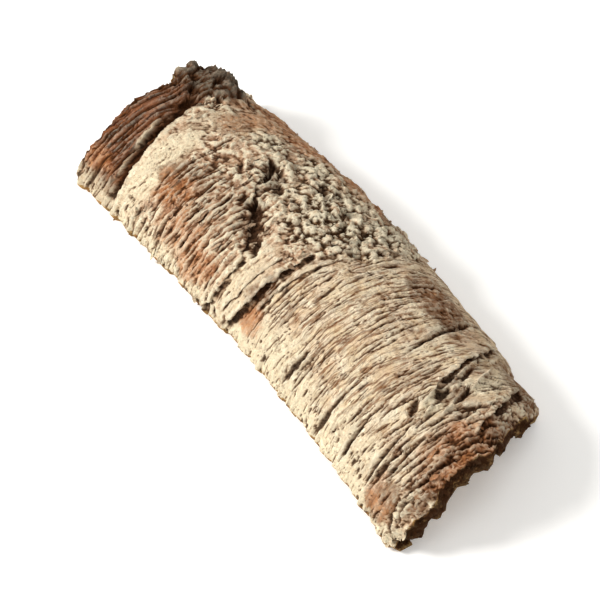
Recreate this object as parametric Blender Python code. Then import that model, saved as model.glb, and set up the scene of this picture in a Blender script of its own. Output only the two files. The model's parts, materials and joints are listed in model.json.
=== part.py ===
"""Cork bark slab: one half-round piece of virgin bark, lying hollow side down on its two long edges.

+X runs along the slab towards its slanted end, +Y across it and +Z up. The origin is at the middle of
the footprint, on the surface that the slab lies on. The bark grew as one piece, so it is one solid.
"""

import bmesh
import bpy
import numpy as np

MM = 0.001

# Driving dimensions, in metres
LENGTH = 173 * MM  # along the long edge on the -Y side
OUTER_RADIUS = 34 * MM  # of the outer face, about the branch's centre line
CREST_HEIGHT = 27 * MM  # of the outer face above the ground
WALL = 8.5 * MM  # thickness of the bark
SIDE_BOW = 6 * MM  # how far the slab's middle bows towards +Y
RIM_HEIGHT = 3.4 * MM  # of the outer face's long edges above the ground
LIP_HEIGHT = 0.8 * MM  # of the hollow's long edges above the ground
FOOT_START = 1.6 * MM  # from the outer rim in to the flat that the slab lies on
FOOT_WIDTH = 4.6 * MM
FOOT_GAP = 1.5 * MM  # most that a long edge rises off the ground between its flats
OUTER_SWELL = 0.7 * MM  # slow bulges of the outer face
INNER_SWELL = 0.45 * MM

# Plan of the two ends along X, at the crest and at the +Y edge, measured from the -Y edge
NEAR_END_CREST = -1.5 * MM
NEAR_END_FAR_EDGE = -19 * MM
NEAR_END_HOLLOW = 1.8 * MM  # the hollow's face ends this far past the outer face
NEAR_END_JAGS = (0.9 * MM, 0.6 * MM)
FAR_END_FAR_EDGE = 2.5 * MM
FAR_END_JAGS = 0.8 * MM
END_BLEND = 0.27  # share of the length over which each end's plan fades out
NOTCH_AT = 144 * MM  # a chip out of the +Y edge, along the slab from its far end
NOTCH_HALF_LENGTH = 4 * MM
NOTCH_DEPTH = 3 * MM

# Features of the outer face: places are along the slab from its far end, and across it from the crest
STRIP_DEPTH = 2.0 * MM  # the outermost layers are missing from a band at the far end
STRIP_LENGTH = 14.5 * MM
STRIP_SLANT = -0.19  # the band widens down the -Y side
STRIP_SIDE = 7 * MM  # it stops this far past the crest
CRUST_HEIGHT = 3.0 * MM  # a lump of old outer crust left beside the band
CRUST_AT = (6 * MM, 15 * MM)
CRUST_SIZE = (8 * MM, 8 * MM)
CRUST_OVERHANG = 3.0 * MM
CRUST_SHARE = (0.33, 0.2)  # middle and half width of the overhang, as shares across the slab
FLANK_DROP = 3.0 * MM  # the +Y flank falls away towards the far end
FLANK_LENGTH = 62 * MM
STEP_HEIGHT = 0.9 * MM  # the older layers end in a step part way along
STEP_AT = (70 * MM, 92 * MM)  # on the -Y flank, and over the crest
SCAR_DEPTH = 1.8 * MM  # hollow scar of a dead twig
SCAR_AT = (143 * MM, 8 * MM)
SCAR_SIZE = (4.5 * MM, 6.5 * MM)
BROKEN_DEPTH = 2.2 * MM  # the slanted end is broken thin on its far side
BROKEN_LENGTH = 13 * MM

RINGS = 58  # along the slab
COLUMNS = 28  # across each face

BARK_COLOUR = (0.60, 0.50, 0.37, 1.0)
BARK_ROUGHNESS = 0.95


def smooth_step(low, high, value):
    """0 below low, 1 above high, and a smooth rise between them."""
    share = np.clip((value - low) / (high - low), 0.0, 1.0)
    return share * share * (3.0 - 2.0 * share)


def hump(value, middle, half_width):
    """1 at the middle, falling to nothing about two half widths from it."""
    return np.exp(-(((value - middle) / half_width) ** 2))


def dome(along, across, place, size):
    """A round hump of height 1 about a place on the outer face."""
    return hump(along, place[0], size[0]) * hump(across, place[1], size[1])


def swell(along, across, amplitude):
    """The slow bulges of bark that grew round a branch."""
    a = along / MM
    c = across / MM
    waves = np.sin(a / 11.3 + c / 17.0 + 0.6) + 0.8 * np.sin(a / 6.9 - c / 12.5 + 2.1)
    waves += 0.7 * np.sin(a / 19.0 - c / 8.1 + 4.4)
    return amplitude * waves / 2.5


def outer_relief(along, across):
    """Height of the outer face over its plain cylinder, in metres."""
    relief = swell(along, across, OUTER_SWELL)
    edge = STRIP_LENGTH + STRIP_SLANT * (across - STRIP_SIDE)
    bared = 1.0 - smooth_step(edge - 1.2 * MM, edge + 1.2 * MM, along)
    bared *= 1.0 - smooth_step(STRIP_SIDE - 2 * MM, STRIP_SIDE + 3 * MM, across)
    relief -= STRIP_DEPTH * bared
    relief += CRUST_HEIGHT * dome(along, across, CRUST_AT, CRUST_SIZE)
    flank = smooth_step(6 * MM, 30 * MM, across) * (1.0 - smooth_step(0.0, FLANK_LENGTH, along))
    relief -= FLANK_DROP * flank
    step_edge = STEP_AT[0] + (STEP_AT[1] - STEP_AT[0]) * smooth_step(-16 * MM, 4 * MM, across)
    relief += STEP_HEIGHT * (1.0 - smooth_step(step_edge - 1.5 * MM, step_edge + 1.5 * MM, along))
    relief -= SCAR_DEPTH * dome(along, across, SCAR_AT, SCAR_SIZE)
    return relief


def end_offsets(share):
    """How far the far and the near end's edges lie along X, for a share from -1 to 1 across the slab."""
    tilt = NEAR_END_FAR_EDGE / 2
    near = NEAR_END_CREST + tilt * share + (tilt - NEAR_END_CREST) * share**2
    near += NEAR_END_JAGS[0] * np.sin(9.0 * share + 0.5) + NEAR_END_JAGS[1] * np.sin(21.0 * share)
    far = FAR_END_FAR_EDGE * smooth_step(-0.2, 1.0, share) + FAR_END_JAGS * np.sin(11.0 * share + 1.0)
    far -= CRUST_OVERHANG * hump(share, *CRUST_SHARE)
    return far, near


def place_along(share_along, share_across):
    """X of a point: even along the slab, bent towards the ends' own outlines near them."""
    far, near = end_offsets(share_across)
    x = LENGTH * (share_along - 0.5)
    x = x + far * (1.0 - smooth_step(0.0, END_BLEND, share_along))
    return x + near * smooth_step(1.0 - END_BLEND, 1.0, share_along)


def bow(share_along):
    """Y of the slab's centre line."""
    return SIDE_BOW * (1.0 - (2.0 * share_along - 1.0) ** 2)


def foot_lift(share_along, side):
    """Height of the long edge's underside: flat on the ground, with a few shallow gaps under it."""
    wave = np.sin(17.0 * share_along + 1.3 * side) + 0.5 * np.sin(41.0 * share_along + side)
    return FOOT_GAP * np.clip(wave - 0.75, 0.0, 1.0)


def ring(share_along):
    """One closed cross-section: the outer face, the +Y edge, the hollow's face and the -Y edge."""
    centre_y = bow(share_along)
    centre_z = CREST_HEIGHT - OUTER_RADIUS
    rim_angle = np.arccos((RIM_HEIGHT - centre_z) / OUTER_RADIUS)
    share = np.linspace(-1.0, 1.0, COLUMNS + 1)
    x = place_along(share_along, share)
    along = x + LENGTH / 2
    notch = NOTCH_DEPTH * hump(along, NOTCH_AT, NOTCH_HALF_LENGTH) * smooth_step(0.6, 1.0, share)

    angle = rim_angle * share
    from_near_end = LENGTH / 2 + end_offsets(share)[1] - x
    broken = 1.0 - smooth_step(0.0, BROKEN_LENGTH, from_near_end)
    edge_fade = 1.0 - 0.6 * np.abs(share) ** 6
    radius = OUTER_RADIUS + outer_relief(along, OUTER_RADIUS * angle) * edge_fade
    radius -= BROKEN_DEPTH * broken * smooth_step(-0.5, 0.3, share)
    outer_y = centre_y + radius * np.sin(angle) - notch
    outer = np.stack([x, outer_y, centre_z + radius * np.cos(angle)], axis=1)

    inner_radius = OUTER_RADIUS - WALL
    inner_angle = np.arccos((LIP_HEIGHT - centre_z) / inner_radius) * share
    inner_r = inner_radius + swell(along + 40 * MM, inner_radius * inner_angle, INNER_SWELL)
    inner_x = x + NEAR_END_HOLLOW * smooth_step(0.9, 1.0, share_along) * (1.0 - share**2)
    inner_y = centre_y + inner_r * np.sin(inner_angle) - notch
    inner = np.stack([inner_x, inner_y, centre_z + inner_r * np.cos(inner_angle)], axis=1)

    def foot(end, side):
        """The two points of a long edge's underside."""
        outside_y = outer[end, 1] - side * FOOT_START
        lift = foot_lift(share_along, side)
        return [x[end], outside_y, lift], [x[end], outside_y - side * FOOT_WIDTH, lift]

    right_outside, right_inside = foot(-1, 1.0)
    left_outside, left_inside = foot(0, -1.0)
    return np.concatenate(
        [outer, [right_outside, right_inside], inner[::-1], [left_inside, left_outside]]
    )


def slab_mesh():
    """The closed slab: cross-sections joined along its length, and a broken face at each end."""
    rings = np.array([ring(share) for share in np.linspace(0.0, 1.0, RINGS + 1)])
    low = rings.min(axis=(0, 1))
    high = rings.max(axis=(0, 1))
    rings[:, :, :2] -= (low[:2] + high[:2]) / 2

    mesh = bmesh.new()
    verts = [[mesh.verts.new(point) for point in loop] for loop in rings]
    count = len(verts[0])
    for first, second in zip(verts, verts[1:]):
        for i in range(count):
            j = (i + 1) % count
            mesh.faces.new((first[i], first[j], second[j], second[i]))
    last_outer = COLUMNS
    first_inner = COLUMNS + 3
    for loop in (verts[0], verts[-1]):
        inner = loop[first_inner : first_inner + COLUMNS + 1][::-1]
        for i in range(COLUMNS):
            mesh.faces.new((loop[i], inner[i], inner[i + 1], loop[i + 1]))
        mesh.faces.new((loop[last_outer], inner[COLUMNS], loop[last_outer + 2], loop[last_outer + 1]))
        mesh.faces.new((loop[0], loop[-1], loop[-2], inner[0]))
    bmesh.ops.triangulate(mesh, faces=mesh.faces[:])
    bmesh.ops.recalc_face_normals(mesh, faces=mesh.faces[:])
    return mesh


def bark_material():
    """Weathered cork bark: pale, dry and matt."""
    material = bpy.data.materials.new("weathered_bark")
    material.use_nodes = True
    shader = material.node_tree.nodes["Principled BSDF"]
    shader.inputs["Base Color"].default_value = BARK_COLOUR
    shader.inputs["Roughness"].default_value = BARK_ROUGHNESS
    shader.inputs["Metallic"].default_value = 0.0
    return material


def main():
    """Clears the scene and builds the slab."""
    for leftover in list(bpy.data.objects):
        bpy.data.objects.remove(leftover)
    shape = slab_mesh()
    data = bpy.data.meshes.new("cork_bark_slab")
    shape.to_mesh(data)
    shape.free()
    data.materials.append(bark_material())
    data.shade_smooth()
    slab = bpy.data.objects.new("cork_bark_slab", data)
    bpy.context.scene.collection.objects.link(slab)


main()
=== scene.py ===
"""Looks of the cork bark slab: a half-round piece of weathered virgin bark lying hollow side down.

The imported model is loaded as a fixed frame. The bark's relief, its broken ends and its hollow are modelled as
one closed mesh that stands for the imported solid, and lichen, loose flakes and cork crumbs are spread over it.
Lengths in the classes are millimetres, along the slab from its far end and across it from its crest.
"""

import json
import logging
import math
from dataclasses import dataclass, field
from enum import Enum
from typing import Any, Sequence

import bmesh
import bpy
import numpy as np
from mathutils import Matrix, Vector

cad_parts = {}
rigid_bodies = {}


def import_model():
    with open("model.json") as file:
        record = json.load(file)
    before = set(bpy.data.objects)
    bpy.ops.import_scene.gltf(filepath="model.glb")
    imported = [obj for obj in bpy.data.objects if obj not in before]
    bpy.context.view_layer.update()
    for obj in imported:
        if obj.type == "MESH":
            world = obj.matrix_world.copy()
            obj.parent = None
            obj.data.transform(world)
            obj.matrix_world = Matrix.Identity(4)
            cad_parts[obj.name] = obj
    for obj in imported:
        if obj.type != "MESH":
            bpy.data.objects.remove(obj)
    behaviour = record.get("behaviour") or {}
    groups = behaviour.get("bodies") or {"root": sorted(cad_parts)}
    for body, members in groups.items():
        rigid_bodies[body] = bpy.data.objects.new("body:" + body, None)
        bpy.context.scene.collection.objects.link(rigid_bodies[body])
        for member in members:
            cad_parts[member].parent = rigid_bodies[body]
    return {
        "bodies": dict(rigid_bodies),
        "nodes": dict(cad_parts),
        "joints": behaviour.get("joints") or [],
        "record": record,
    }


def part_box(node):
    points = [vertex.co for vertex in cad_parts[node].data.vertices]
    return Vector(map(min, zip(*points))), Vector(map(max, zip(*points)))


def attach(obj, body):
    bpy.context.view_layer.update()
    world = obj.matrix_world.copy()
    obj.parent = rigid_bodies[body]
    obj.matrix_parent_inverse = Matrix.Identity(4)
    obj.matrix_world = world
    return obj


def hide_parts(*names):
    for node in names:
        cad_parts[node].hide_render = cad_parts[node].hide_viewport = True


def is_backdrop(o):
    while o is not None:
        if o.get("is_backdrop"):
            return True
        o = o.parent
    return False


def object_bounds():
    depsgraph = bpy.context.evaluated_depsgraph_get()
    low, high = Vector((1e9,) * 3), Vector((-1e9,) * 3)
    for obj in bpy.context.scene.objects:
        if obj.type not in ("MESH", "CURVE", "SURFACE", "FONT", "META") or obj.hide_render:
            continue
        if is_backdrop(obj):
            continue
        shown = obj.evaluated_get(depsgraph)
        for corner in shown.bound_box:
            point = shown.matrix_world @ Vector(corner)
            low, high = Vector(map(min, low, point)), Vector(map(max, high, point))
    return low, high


Array = np.ndarray
Colour = tuple[float, float, float]
Place = tuple[float, float]
Socket = bpy.types.NodeSocket
Outputs = bpy.types.bpy_prop_collection
Tree = bpy.types.NodeTree
SocketSpec = tuple[str, str, Any]  # a socket's name, short type and default

MM = 0.001
NODE = "cork_bark_slab"
BODY = "root"
UV_MAP = "bark_map"
UV_UNIT = 100.0  # millimetres of bark to one unit of the map

log = logging.getLogger("cork_bark")


def unit(values: Array) -> Array:
    """Values kept from 0 to 1."""
    return np.clip(values, 0.0, 1.0)


def smooth_step(low: float | Array, high: float | Array, value: Array) -> Array:
    """A smooth rise from 0 at low to 1 at high.

    Args:
        low: Where the rise starts.
        high: Where the rise ends.
        value: The values to read it at.

    Returns:
        The rise, from 0 to 1.
    """
    share = unit((value - low) / (np.asarray(high) - low))
    return share * share * (3.0 - 2.0 * share)


def hump(value: Array, middle: float, half_width: float) -> Array:
    """A bell of height 1 about the middle."""
    return np.exp(-(((value - middle) / half_width) ** 2))


def blur(values: Array, reach: int) -> Array:
    """A running mean over a grid, both ways, done twice.

    Args:
        values: A grid of numbers.
        reach: How many points the mean takes in on each side.

    Returns:
        The grid, smoothed.
    """
    smooth = values
    for _ in range(2):
        for axis in (0, 1):
            pad = [(0, 0), (0, 0)]
            pad[axis] = (reach + 1, reach)
            total = np.cumsum(np.pad(smooth, pad, mode="edge"), axis=axis)
            width = 2 * reach + 1
            if axis == 0:
                smooth = (total[width:] - total[:-width]) / width
            else:
                smooth = (total[:, width:] - total[:, :-width]) / width
    return smooth


def hollows(rise: Array, reach: int, depth: float) -> Array:
    """How far each point lies below the mean about it, from 0 to 1 at that depth."""
    return unit((blur(rise, reach) - rise) / depth)


def strata(heights: Array, step: float, lip: float) -> tuple[Array, Array]:
    """Turns slow swells into flat layers with broken edges.

    Args:
        heights: The swells.
        step: Thickness of one layer.
        lip: Share of a layer's rise that its edge takes up.

    Returns:
        The layers' heights, and a mask of the foot of each edge.
    """
    level = heights / step
    whole = np.floor(level)
    part = level - whole
    return (whole + smooth_step(1.0 - lip, 1.0, part)) * step, hump(part, 1.0 - lip, 0.8 * lip)


@dataclass(frozen=True)
class Cells:
    """Cells about scattered points, at each place of a grid."""

    nearest: Array  # distance to the cell's own point
    tone: Array  # the cell's own number, 0 to 1
    lean: Array  # height of a facet through the cell's point, which leans its own way

    def domes(self, least: float, most: float) -> Array:
        """Round bumps of different sizes, one to a cell."""
        radius = least + (most - least) * self.tone
        return np.sqrt(unit(1.0 - (self.nearest / radius) ** 2))

    def pits(self, radius: float, share: float) -> Array:
        """Small round holes in a share of the cells."""
        return (1.0 - smooth_step(0.3 * radius, radius, self.nearest)) * (self.tone < share)


class Noise:
    """Smooth and cellular patterns over places, the same on each run."""

    def __init__(self, seed: int) -> None:
        """Keeps the seed that every pattern starts from."""
        self.seed = seed

    def lattice(self, i: Array, j: Array, salt: int) -> Array:
        """A fixed scatter of numbers over whole places.

        Args:
            i: Whole number of each place along.
            j: Whole number of each place across.
            salt: Tells one pattern from another.

        Returns:
            A number from 0 to 1 at each place.
        """
        mixed = (i * 374761393 + j * 668265263 + (self.seed * 131 + salt) * 974711) & 0xFFFFFFFF
        mixed = ((mixed ^ (mixed >> 13)) * 1274126177) & 0xFFFFFFFF
        mixed = ((mixed ^ (mixed >> 15)) * 668265263) & 0xFFFFFFFF
        return ((mixed ^ (mixed >> 16)) & 0xFFFFFF) / 0xFFFFFF

    def smooth(self, x: Array, y: Array, salt: int) -> Array:
        """Gradient noise, about -1 to 1, with one swell to a unit.

        Args:
            x: Places along.
            y: Places across.
            salt: Tells one pattern from another.

        Returns:
            The noise at each place.
        """
        x, y = np.broadcast_arrays(x, y)
        i = np.floor(x).astype(np.int64)
        j = np.floor(y).astype(np.int64)
        u = x - i
        v = y - j
        rise_u = u**3 * (u * (u * 6 - 15) + 10)
        rise_v = v**3 * (v * (v * 6 - 15) + 10)
        total = np.zeros_like(x, dtype=float)
        for di in (0, 1):
            for dj in (0, 1):
                turn = 2 * math.pi * self.lattice(i + di, j + dj, salt)
                slope = np.cos(turn) * (u - di) + np.sin(turn) * (v - dj)
                share_u = rise_u if di else 1 - rise_u
                share_v = rise_v if dj else 1 - rise_v
                total += slope * share_u * share_v
        return total * 1.5

    def layered(self, x: Array, y: Array, octaves: int, salt: int, gain: float = 0.5) -> Array:
        """Gradient noise with finer layers added.

        Args:
            x: Places along.
            y: Places across.
            octaves: How many layers.
            salt: Tells one pattern from another.
            gain: Strength of each layer beside the one before.

        Returns:
            The noise, about -1 to 1.
        """
        total = 0.0
        strength = 1.0
        whole = 0.0
        for octave in range(octaves):
            size = 2.03**octave
            swell = self.smooth(x * size + 7.3 * octave, y * size - 3.1 * octave, salt + octave)
            total = total + strength * swell
            whole += strength
            strength *= gain
        return total / whole

    def ridged(self, x: Array, y: Array, octaves: int, salt: int) -> Array:
        """Layered noise folded into sharp ridges.

        Args:
            x: Places along.
            y: Places across.
            octaves: How many layers.
            salt: Tells one pattern from another.

        Returns:
            0 in the valleys to 1 on the ridges.
        """
        total = 0.0
        whole = 0.0
        strength = 1.0
        for octave in range(octaves):
            size = 2.1**octave
            fold = 1.0 - np.abs(self.smooth(x * size, y * size + 5.7 * octave, salt + 17 * octave))
            total = total + strength * fold**2
            whole += strength
            strength *= 0.5
        return total / whole

    def threads(self, x: Array, y: Array, thickness: float, salt: int) -> Array:
        """Thin wandering lines, 1 on a line.

        Args:
            x: Places along, in swells.
            y: Places across, in swells.
            thickness: How thick a line is, as a share of the noise's range.
            salt: Tells one pattern from another.

        Returns:
            The lines' mask.
        """
        return 1.0 - smooth_step(0.0, thickness, np.abs(self.layered(x, y, 2, salt)))

    def cells(self, x: Array, y: Array, salt: int) -> Cells:
        """Cells about scattered points, about one to a unit square.

        Args:
            x: Places along.
            y: Places across.
            salt: Tells one pattern from another.

        Returns:
            The cells.
        """
        x, y = np.broadcast_arrays(x, y)
        i = np.floor(x).astype(np.int64)
        j = np.floor(y).astype(np.int64)
        nearest = np.full(x.shape, 9.0)
        tone = np.zeros(x.shape)
        lean = np.zeros(x.shape)
        for di in (-1, 0, 1):
            for dj in (-1, 0, 1):
                aside = i + di + self.lattice(i + di, j + dj, salt) - x
                ahead = j + dj + self.lattice(i + di, j + dj, salt + 1) - y
                own = self.lattice(i + di, j + dj, salt + 2)
                way = 2 * math.pi * self.lattice(i + di, j + dj, salt + 3)
                distance = np.hypot(aside, ahead)
                closer = distance < nearest
                tone = np.where(closer, own, tone)
                lean = np.where(closer, np.cos(way) * aside + np.sin(way) * ahead, lean)
                nearest = np.where(closer, distance, nearest)
        return Cells(nearest, tone, lean)

    def scales(self, x: Array, y: Array, salt: int) -> Array:
        """Flat scales that lie at their own heights and lean their own ways, about -1 to 1."""
        cells = self.cells(x, y, salt)
        return 1.2 * (cells.tone - 0.5) + 0.9 * cells.lean


class Mask(Enum):
    """What a point of the bark shows, each stored on the mesh as a number from 0 to 1."""

    DEEP = "deep"  # in a crack or hollow: dirt and painted shade go there
    WORN_AND_LIT = "worn"  # on a ridge: made paler, wear and painted highlight
    BAND = "band"  # the outermost layers are missing
    ROUGH = "rough"  # old, scaly layers
    RUST = "rust"  # reddish layers
    BROWN = "brown"  # brown mottled layers
    LICHEN = "lichen"  # pale: sun-bleached, and painted light on the flank that faces the key light
    BLEACHED_AND_LIT = "bleached"  # pale, sun-bleached
    CRUST_AND_SHADE = "char"  # dark old crust, and painted shade in the dark troughs
    FLAKY = "flaky"  # loose flakes lie there
    CRUMBLY = "crumbly"  # loose crumbs lie there


@dataclass(frozen=True)
class Patch:
    """An oval patch of a finish: its middle, half length along, half width across, and strength."""

    middle: Place
    half: Place
    strength: float = 1.0

    def mask(self, along: Array, across: Array, ragged: Array) -> Array:
        """How much of the patch shows at each place; ragged is noise that frays its outline."""
        reach = np.hypot((along - self.middle[0]) / self.half[0], (across - self.middle[1]) / self.half[1])
        return self.strength * (1.0 - smooth_step(0.5, 1.2, reach + 0.5 * ragged))


@dataclass(frozen=True)
class Slit:
    """A lens-shaped crack between two places."""

    start: Place
    end: Place
    width: float
    depth: float
    heart: float = 0.5  # where it is widest, as a share of its length

    def opening(self, along: Array, across: Array, wobble: Array) -> Array:
        """How far into the crack each place lies.

        Args:
            along: Places along the slab.
            across: Places across it.
            wobble: Sideways wander of the crack, in millimetres.

        Returns:
            0 outside, 1 at the crack's middle line.
        """
        run = (self.end[0] - self.start[0], self.end[1] - self.start[1])
        length = math.hypot(*run)
        direction = (run[0] / length, run[1] / length)
        from_start = (along - self.start[0], across - self.start[1])
        share = (from_start[0] * direction[0] + from_start[1] * direction[1]) / length
        aside = from_start[0] * direction[1] - from_start[1] * direction[0] + wobble * max(1.0, self.width)
        power = math.log(0.5) / math.log(self.heart)
        inside = unit(share) ** power
        half = 0.5 * self.width * np.sin(math.pi * inside) ** 0.7 + 1e-6
        return np.exp(-((aside / half) ** 2)) * (share > 0.0) * (share < 1.0)


@dataclass(frozen=True)
class Ledge:
    """The broken edge of an upper layer of bark, which overhangs a gap over the layer below it.

    The edge is a line through places given by rising across. An edge that faces the near end has side 1,
    and one that faces the far end has side -1.
    """

    across: tuple[float, ...]
    along: tuple[float, ...]
    side: int
    height: float
    gap: float
    overhang: float
    fade: float = 2.0
    reach: float = 12.0  # how far back the upper layer stands proud
    ragged: float = 0.7
    width: float = 0.65  # of the gap
    steady: float = 0.65  # how open the gap is on average

    def shape(self, along: Array, across: Array, noise: Noise, salt: int) -> tuple[Array, Array, Array]:
        """The edge's relief.

        Args:
            along: Places along the slab.
            across: Places across it.
            noise: Makes the edge ragged.
            salt: Tells one edge from another.

        Returns:
            The rise, the slide along the slab, and the painted shadow in the gap below the edge.
        """
        line = np.interp(across, self.across, self.along)
        line = line + 1.6 * self.ragged * noise.layered(across / 4.2, along / 9, 5, salt, 0.62)
        present = smooth_step(self.across[0], self.across[0] + self.fade, across)
        present = present * (1.0 - smooth_step(self.across[-1] - self.fade, self.across[-1], across))
        uneven = noise.layered(across / 4, along / 6, 3, salt + 5, 0.6)
        uneven = np.clip(self.steady + 1.1 * uneven, 0.05, 1.15)
        past = (along - line) * self.side
        upper = 1.0 - smooth_step(-0.4, 0.4, past)
        rise = self.height * upper * np.exp(np.minimum(past, 0.0) / self.reach)
        rise = rise + 0.25 * self.height * hump(past, -0.9, 0.8)
        rise = rise - self.gap * uneven * hump(past, self.width, self.width)
        slide = self.overhang * (hump(past, -0.45, 0.6) - hump(past, 0.45, 0.6)) * self.side
        # the third value is painted shadow in the gap under the overhang
        return rise * present, slide * present, uneven * hump(past, 0.8 * self.width, self.width) * present


@dataclass(frozen=True)
class Relief:
    """The shape and finishes of a face: its rise, its slide along the slab, and its masks."""

    rise: Array
    slide: Array
    masks: dict[Mask, Array]


@dataclass(frozen=True)
class SlabSizes:
    """The slab's plain shape, in millimetres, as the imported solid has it."""

    length: float = 173.0
    outer_radius: float = 34.0
    crest_height: float = 27.0
    wall: float = 8.5
    side_bow: float = 6.0
    rim_height: float = 3.4
    lip_height: float = 0.8
    foot_start: float = 1.6
    foot_width: float = 4.6
    foot_gap: float = 1.5
    near_end_crest: float = -1.5
    near_end_far_edge: float = -19.0
    near_end_hollow: float = 1.8
    far_end_far_edge: float = 2.5
    end_blend: float = 0.27
    notch_at: float = 144.0
    notch_half_length: float = 4.0
    notch_depth: float = 3.4
    crust_overhang: float = 3.8
    crust_share: Place = (0.31, 0.23)
    end_wear: float = 2.6  # how far the near end's outer layers are worn back
    pressed_from: float = 27.9  # height over which the relief is pressed down
    pressed_to: float = 1.3  # the most that it then rises over that height

    @property
    def centre_z(self) -> float:
        """Height of the outer face's axis, which lies under the ground."""
        return self.crest_height - self.outer_radius

    @property
    def rim_angle(self) -> float:
        """Angle of the outer face's long edges from the crest."""
        return math.acos((self.rim_height - self.centre_z) / self.outer_radius)

    @property
    def inner_radius(self) -> float:
        """Radius of the hollow's face."""
        return self.outer_radius - self.wall

    @property
    def lip_angle(self) -> float:
        """Angle of the hollow's long edges from the crest."""
        return math.acos((self.lip_height - self.centre_z) / self.inner_radius)

    def end_offsets(self, share: Array) -> tuple[Array, Array]:
        """How far the far and near end's outlines lie along the slab.

        Args:
            share: Places across the slab, from -1 to 1.

        Returns:
            The far end's and the near end's offsets.
        """
        tilt = self.near_end_far_edge / 2
        near = self.near_end_crest + tilt * share + (tilt - self.near_end_crest) * share**2
        near = near + 0.9 * np.sin(9.0 * share + 0.5) + 0.6 * np.sin(21.0 * share)
        far = self.far_end_far_edge * smooth_step(-0.2, 1.0, share) + 0.8 * np.sin(11.0 * share + 1.0)
        far = far - self.crust_overhang * hump(share, *self.crust_share)
        return far, near

    def x_of(self, share_along: Array, share: Array) -> Array:
        """X of the plain surface, before it is set in the frame.

        Args:
            share_along: Places along the slab, from 0 to 1.
            share: Places across it, from -1 to 1.

        Returns:
            X at each place.
        """
        far, near = self.end_offsets(share)
        x = self.length * (share_along - 0.5)
        x = x + far * (1.0 - smooth_step(0.0, self.end_blend, share_along))
        return x + near * smooth_step(1.0 - self.end_blend, 1.0, share_along)

    def bow(self, x: Array) -> Array:
        """Y of the slab's centre line at X."""
        return self.side_bow * (1.0 - (2.0 * x / self.length) ** 2)

    def notch(self, along: Array, share: Array) -> Array:
        """How far the chipped +Y edge is drawn in."""
        depth = self.notch_depth * hump(along, self.notch_at, self.notch_half_length)
        return depth * smooth_step(0.6, 1.0, share)

    def foot_lift(self, share_along: Array, side: float) -> Array:
        """Height of a long edge's underside over the ground."""
        wave = np.sin(17.0 * share_along + 1.3 * side) + 0.5 * np.sin(41.0 * share_along + side)
        return self.foot_gap * unit(wave - 0.75)


def from_rows(kind: type, *rows: tuple[float, ...]) -> tuple[Any, ...]:
    """Patches or slits from rows of numbers, the first four of which are their two pairs."""
    return tuple(kind(row[:2], row[2:4], *row[4:]) for row in rows)


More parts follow.
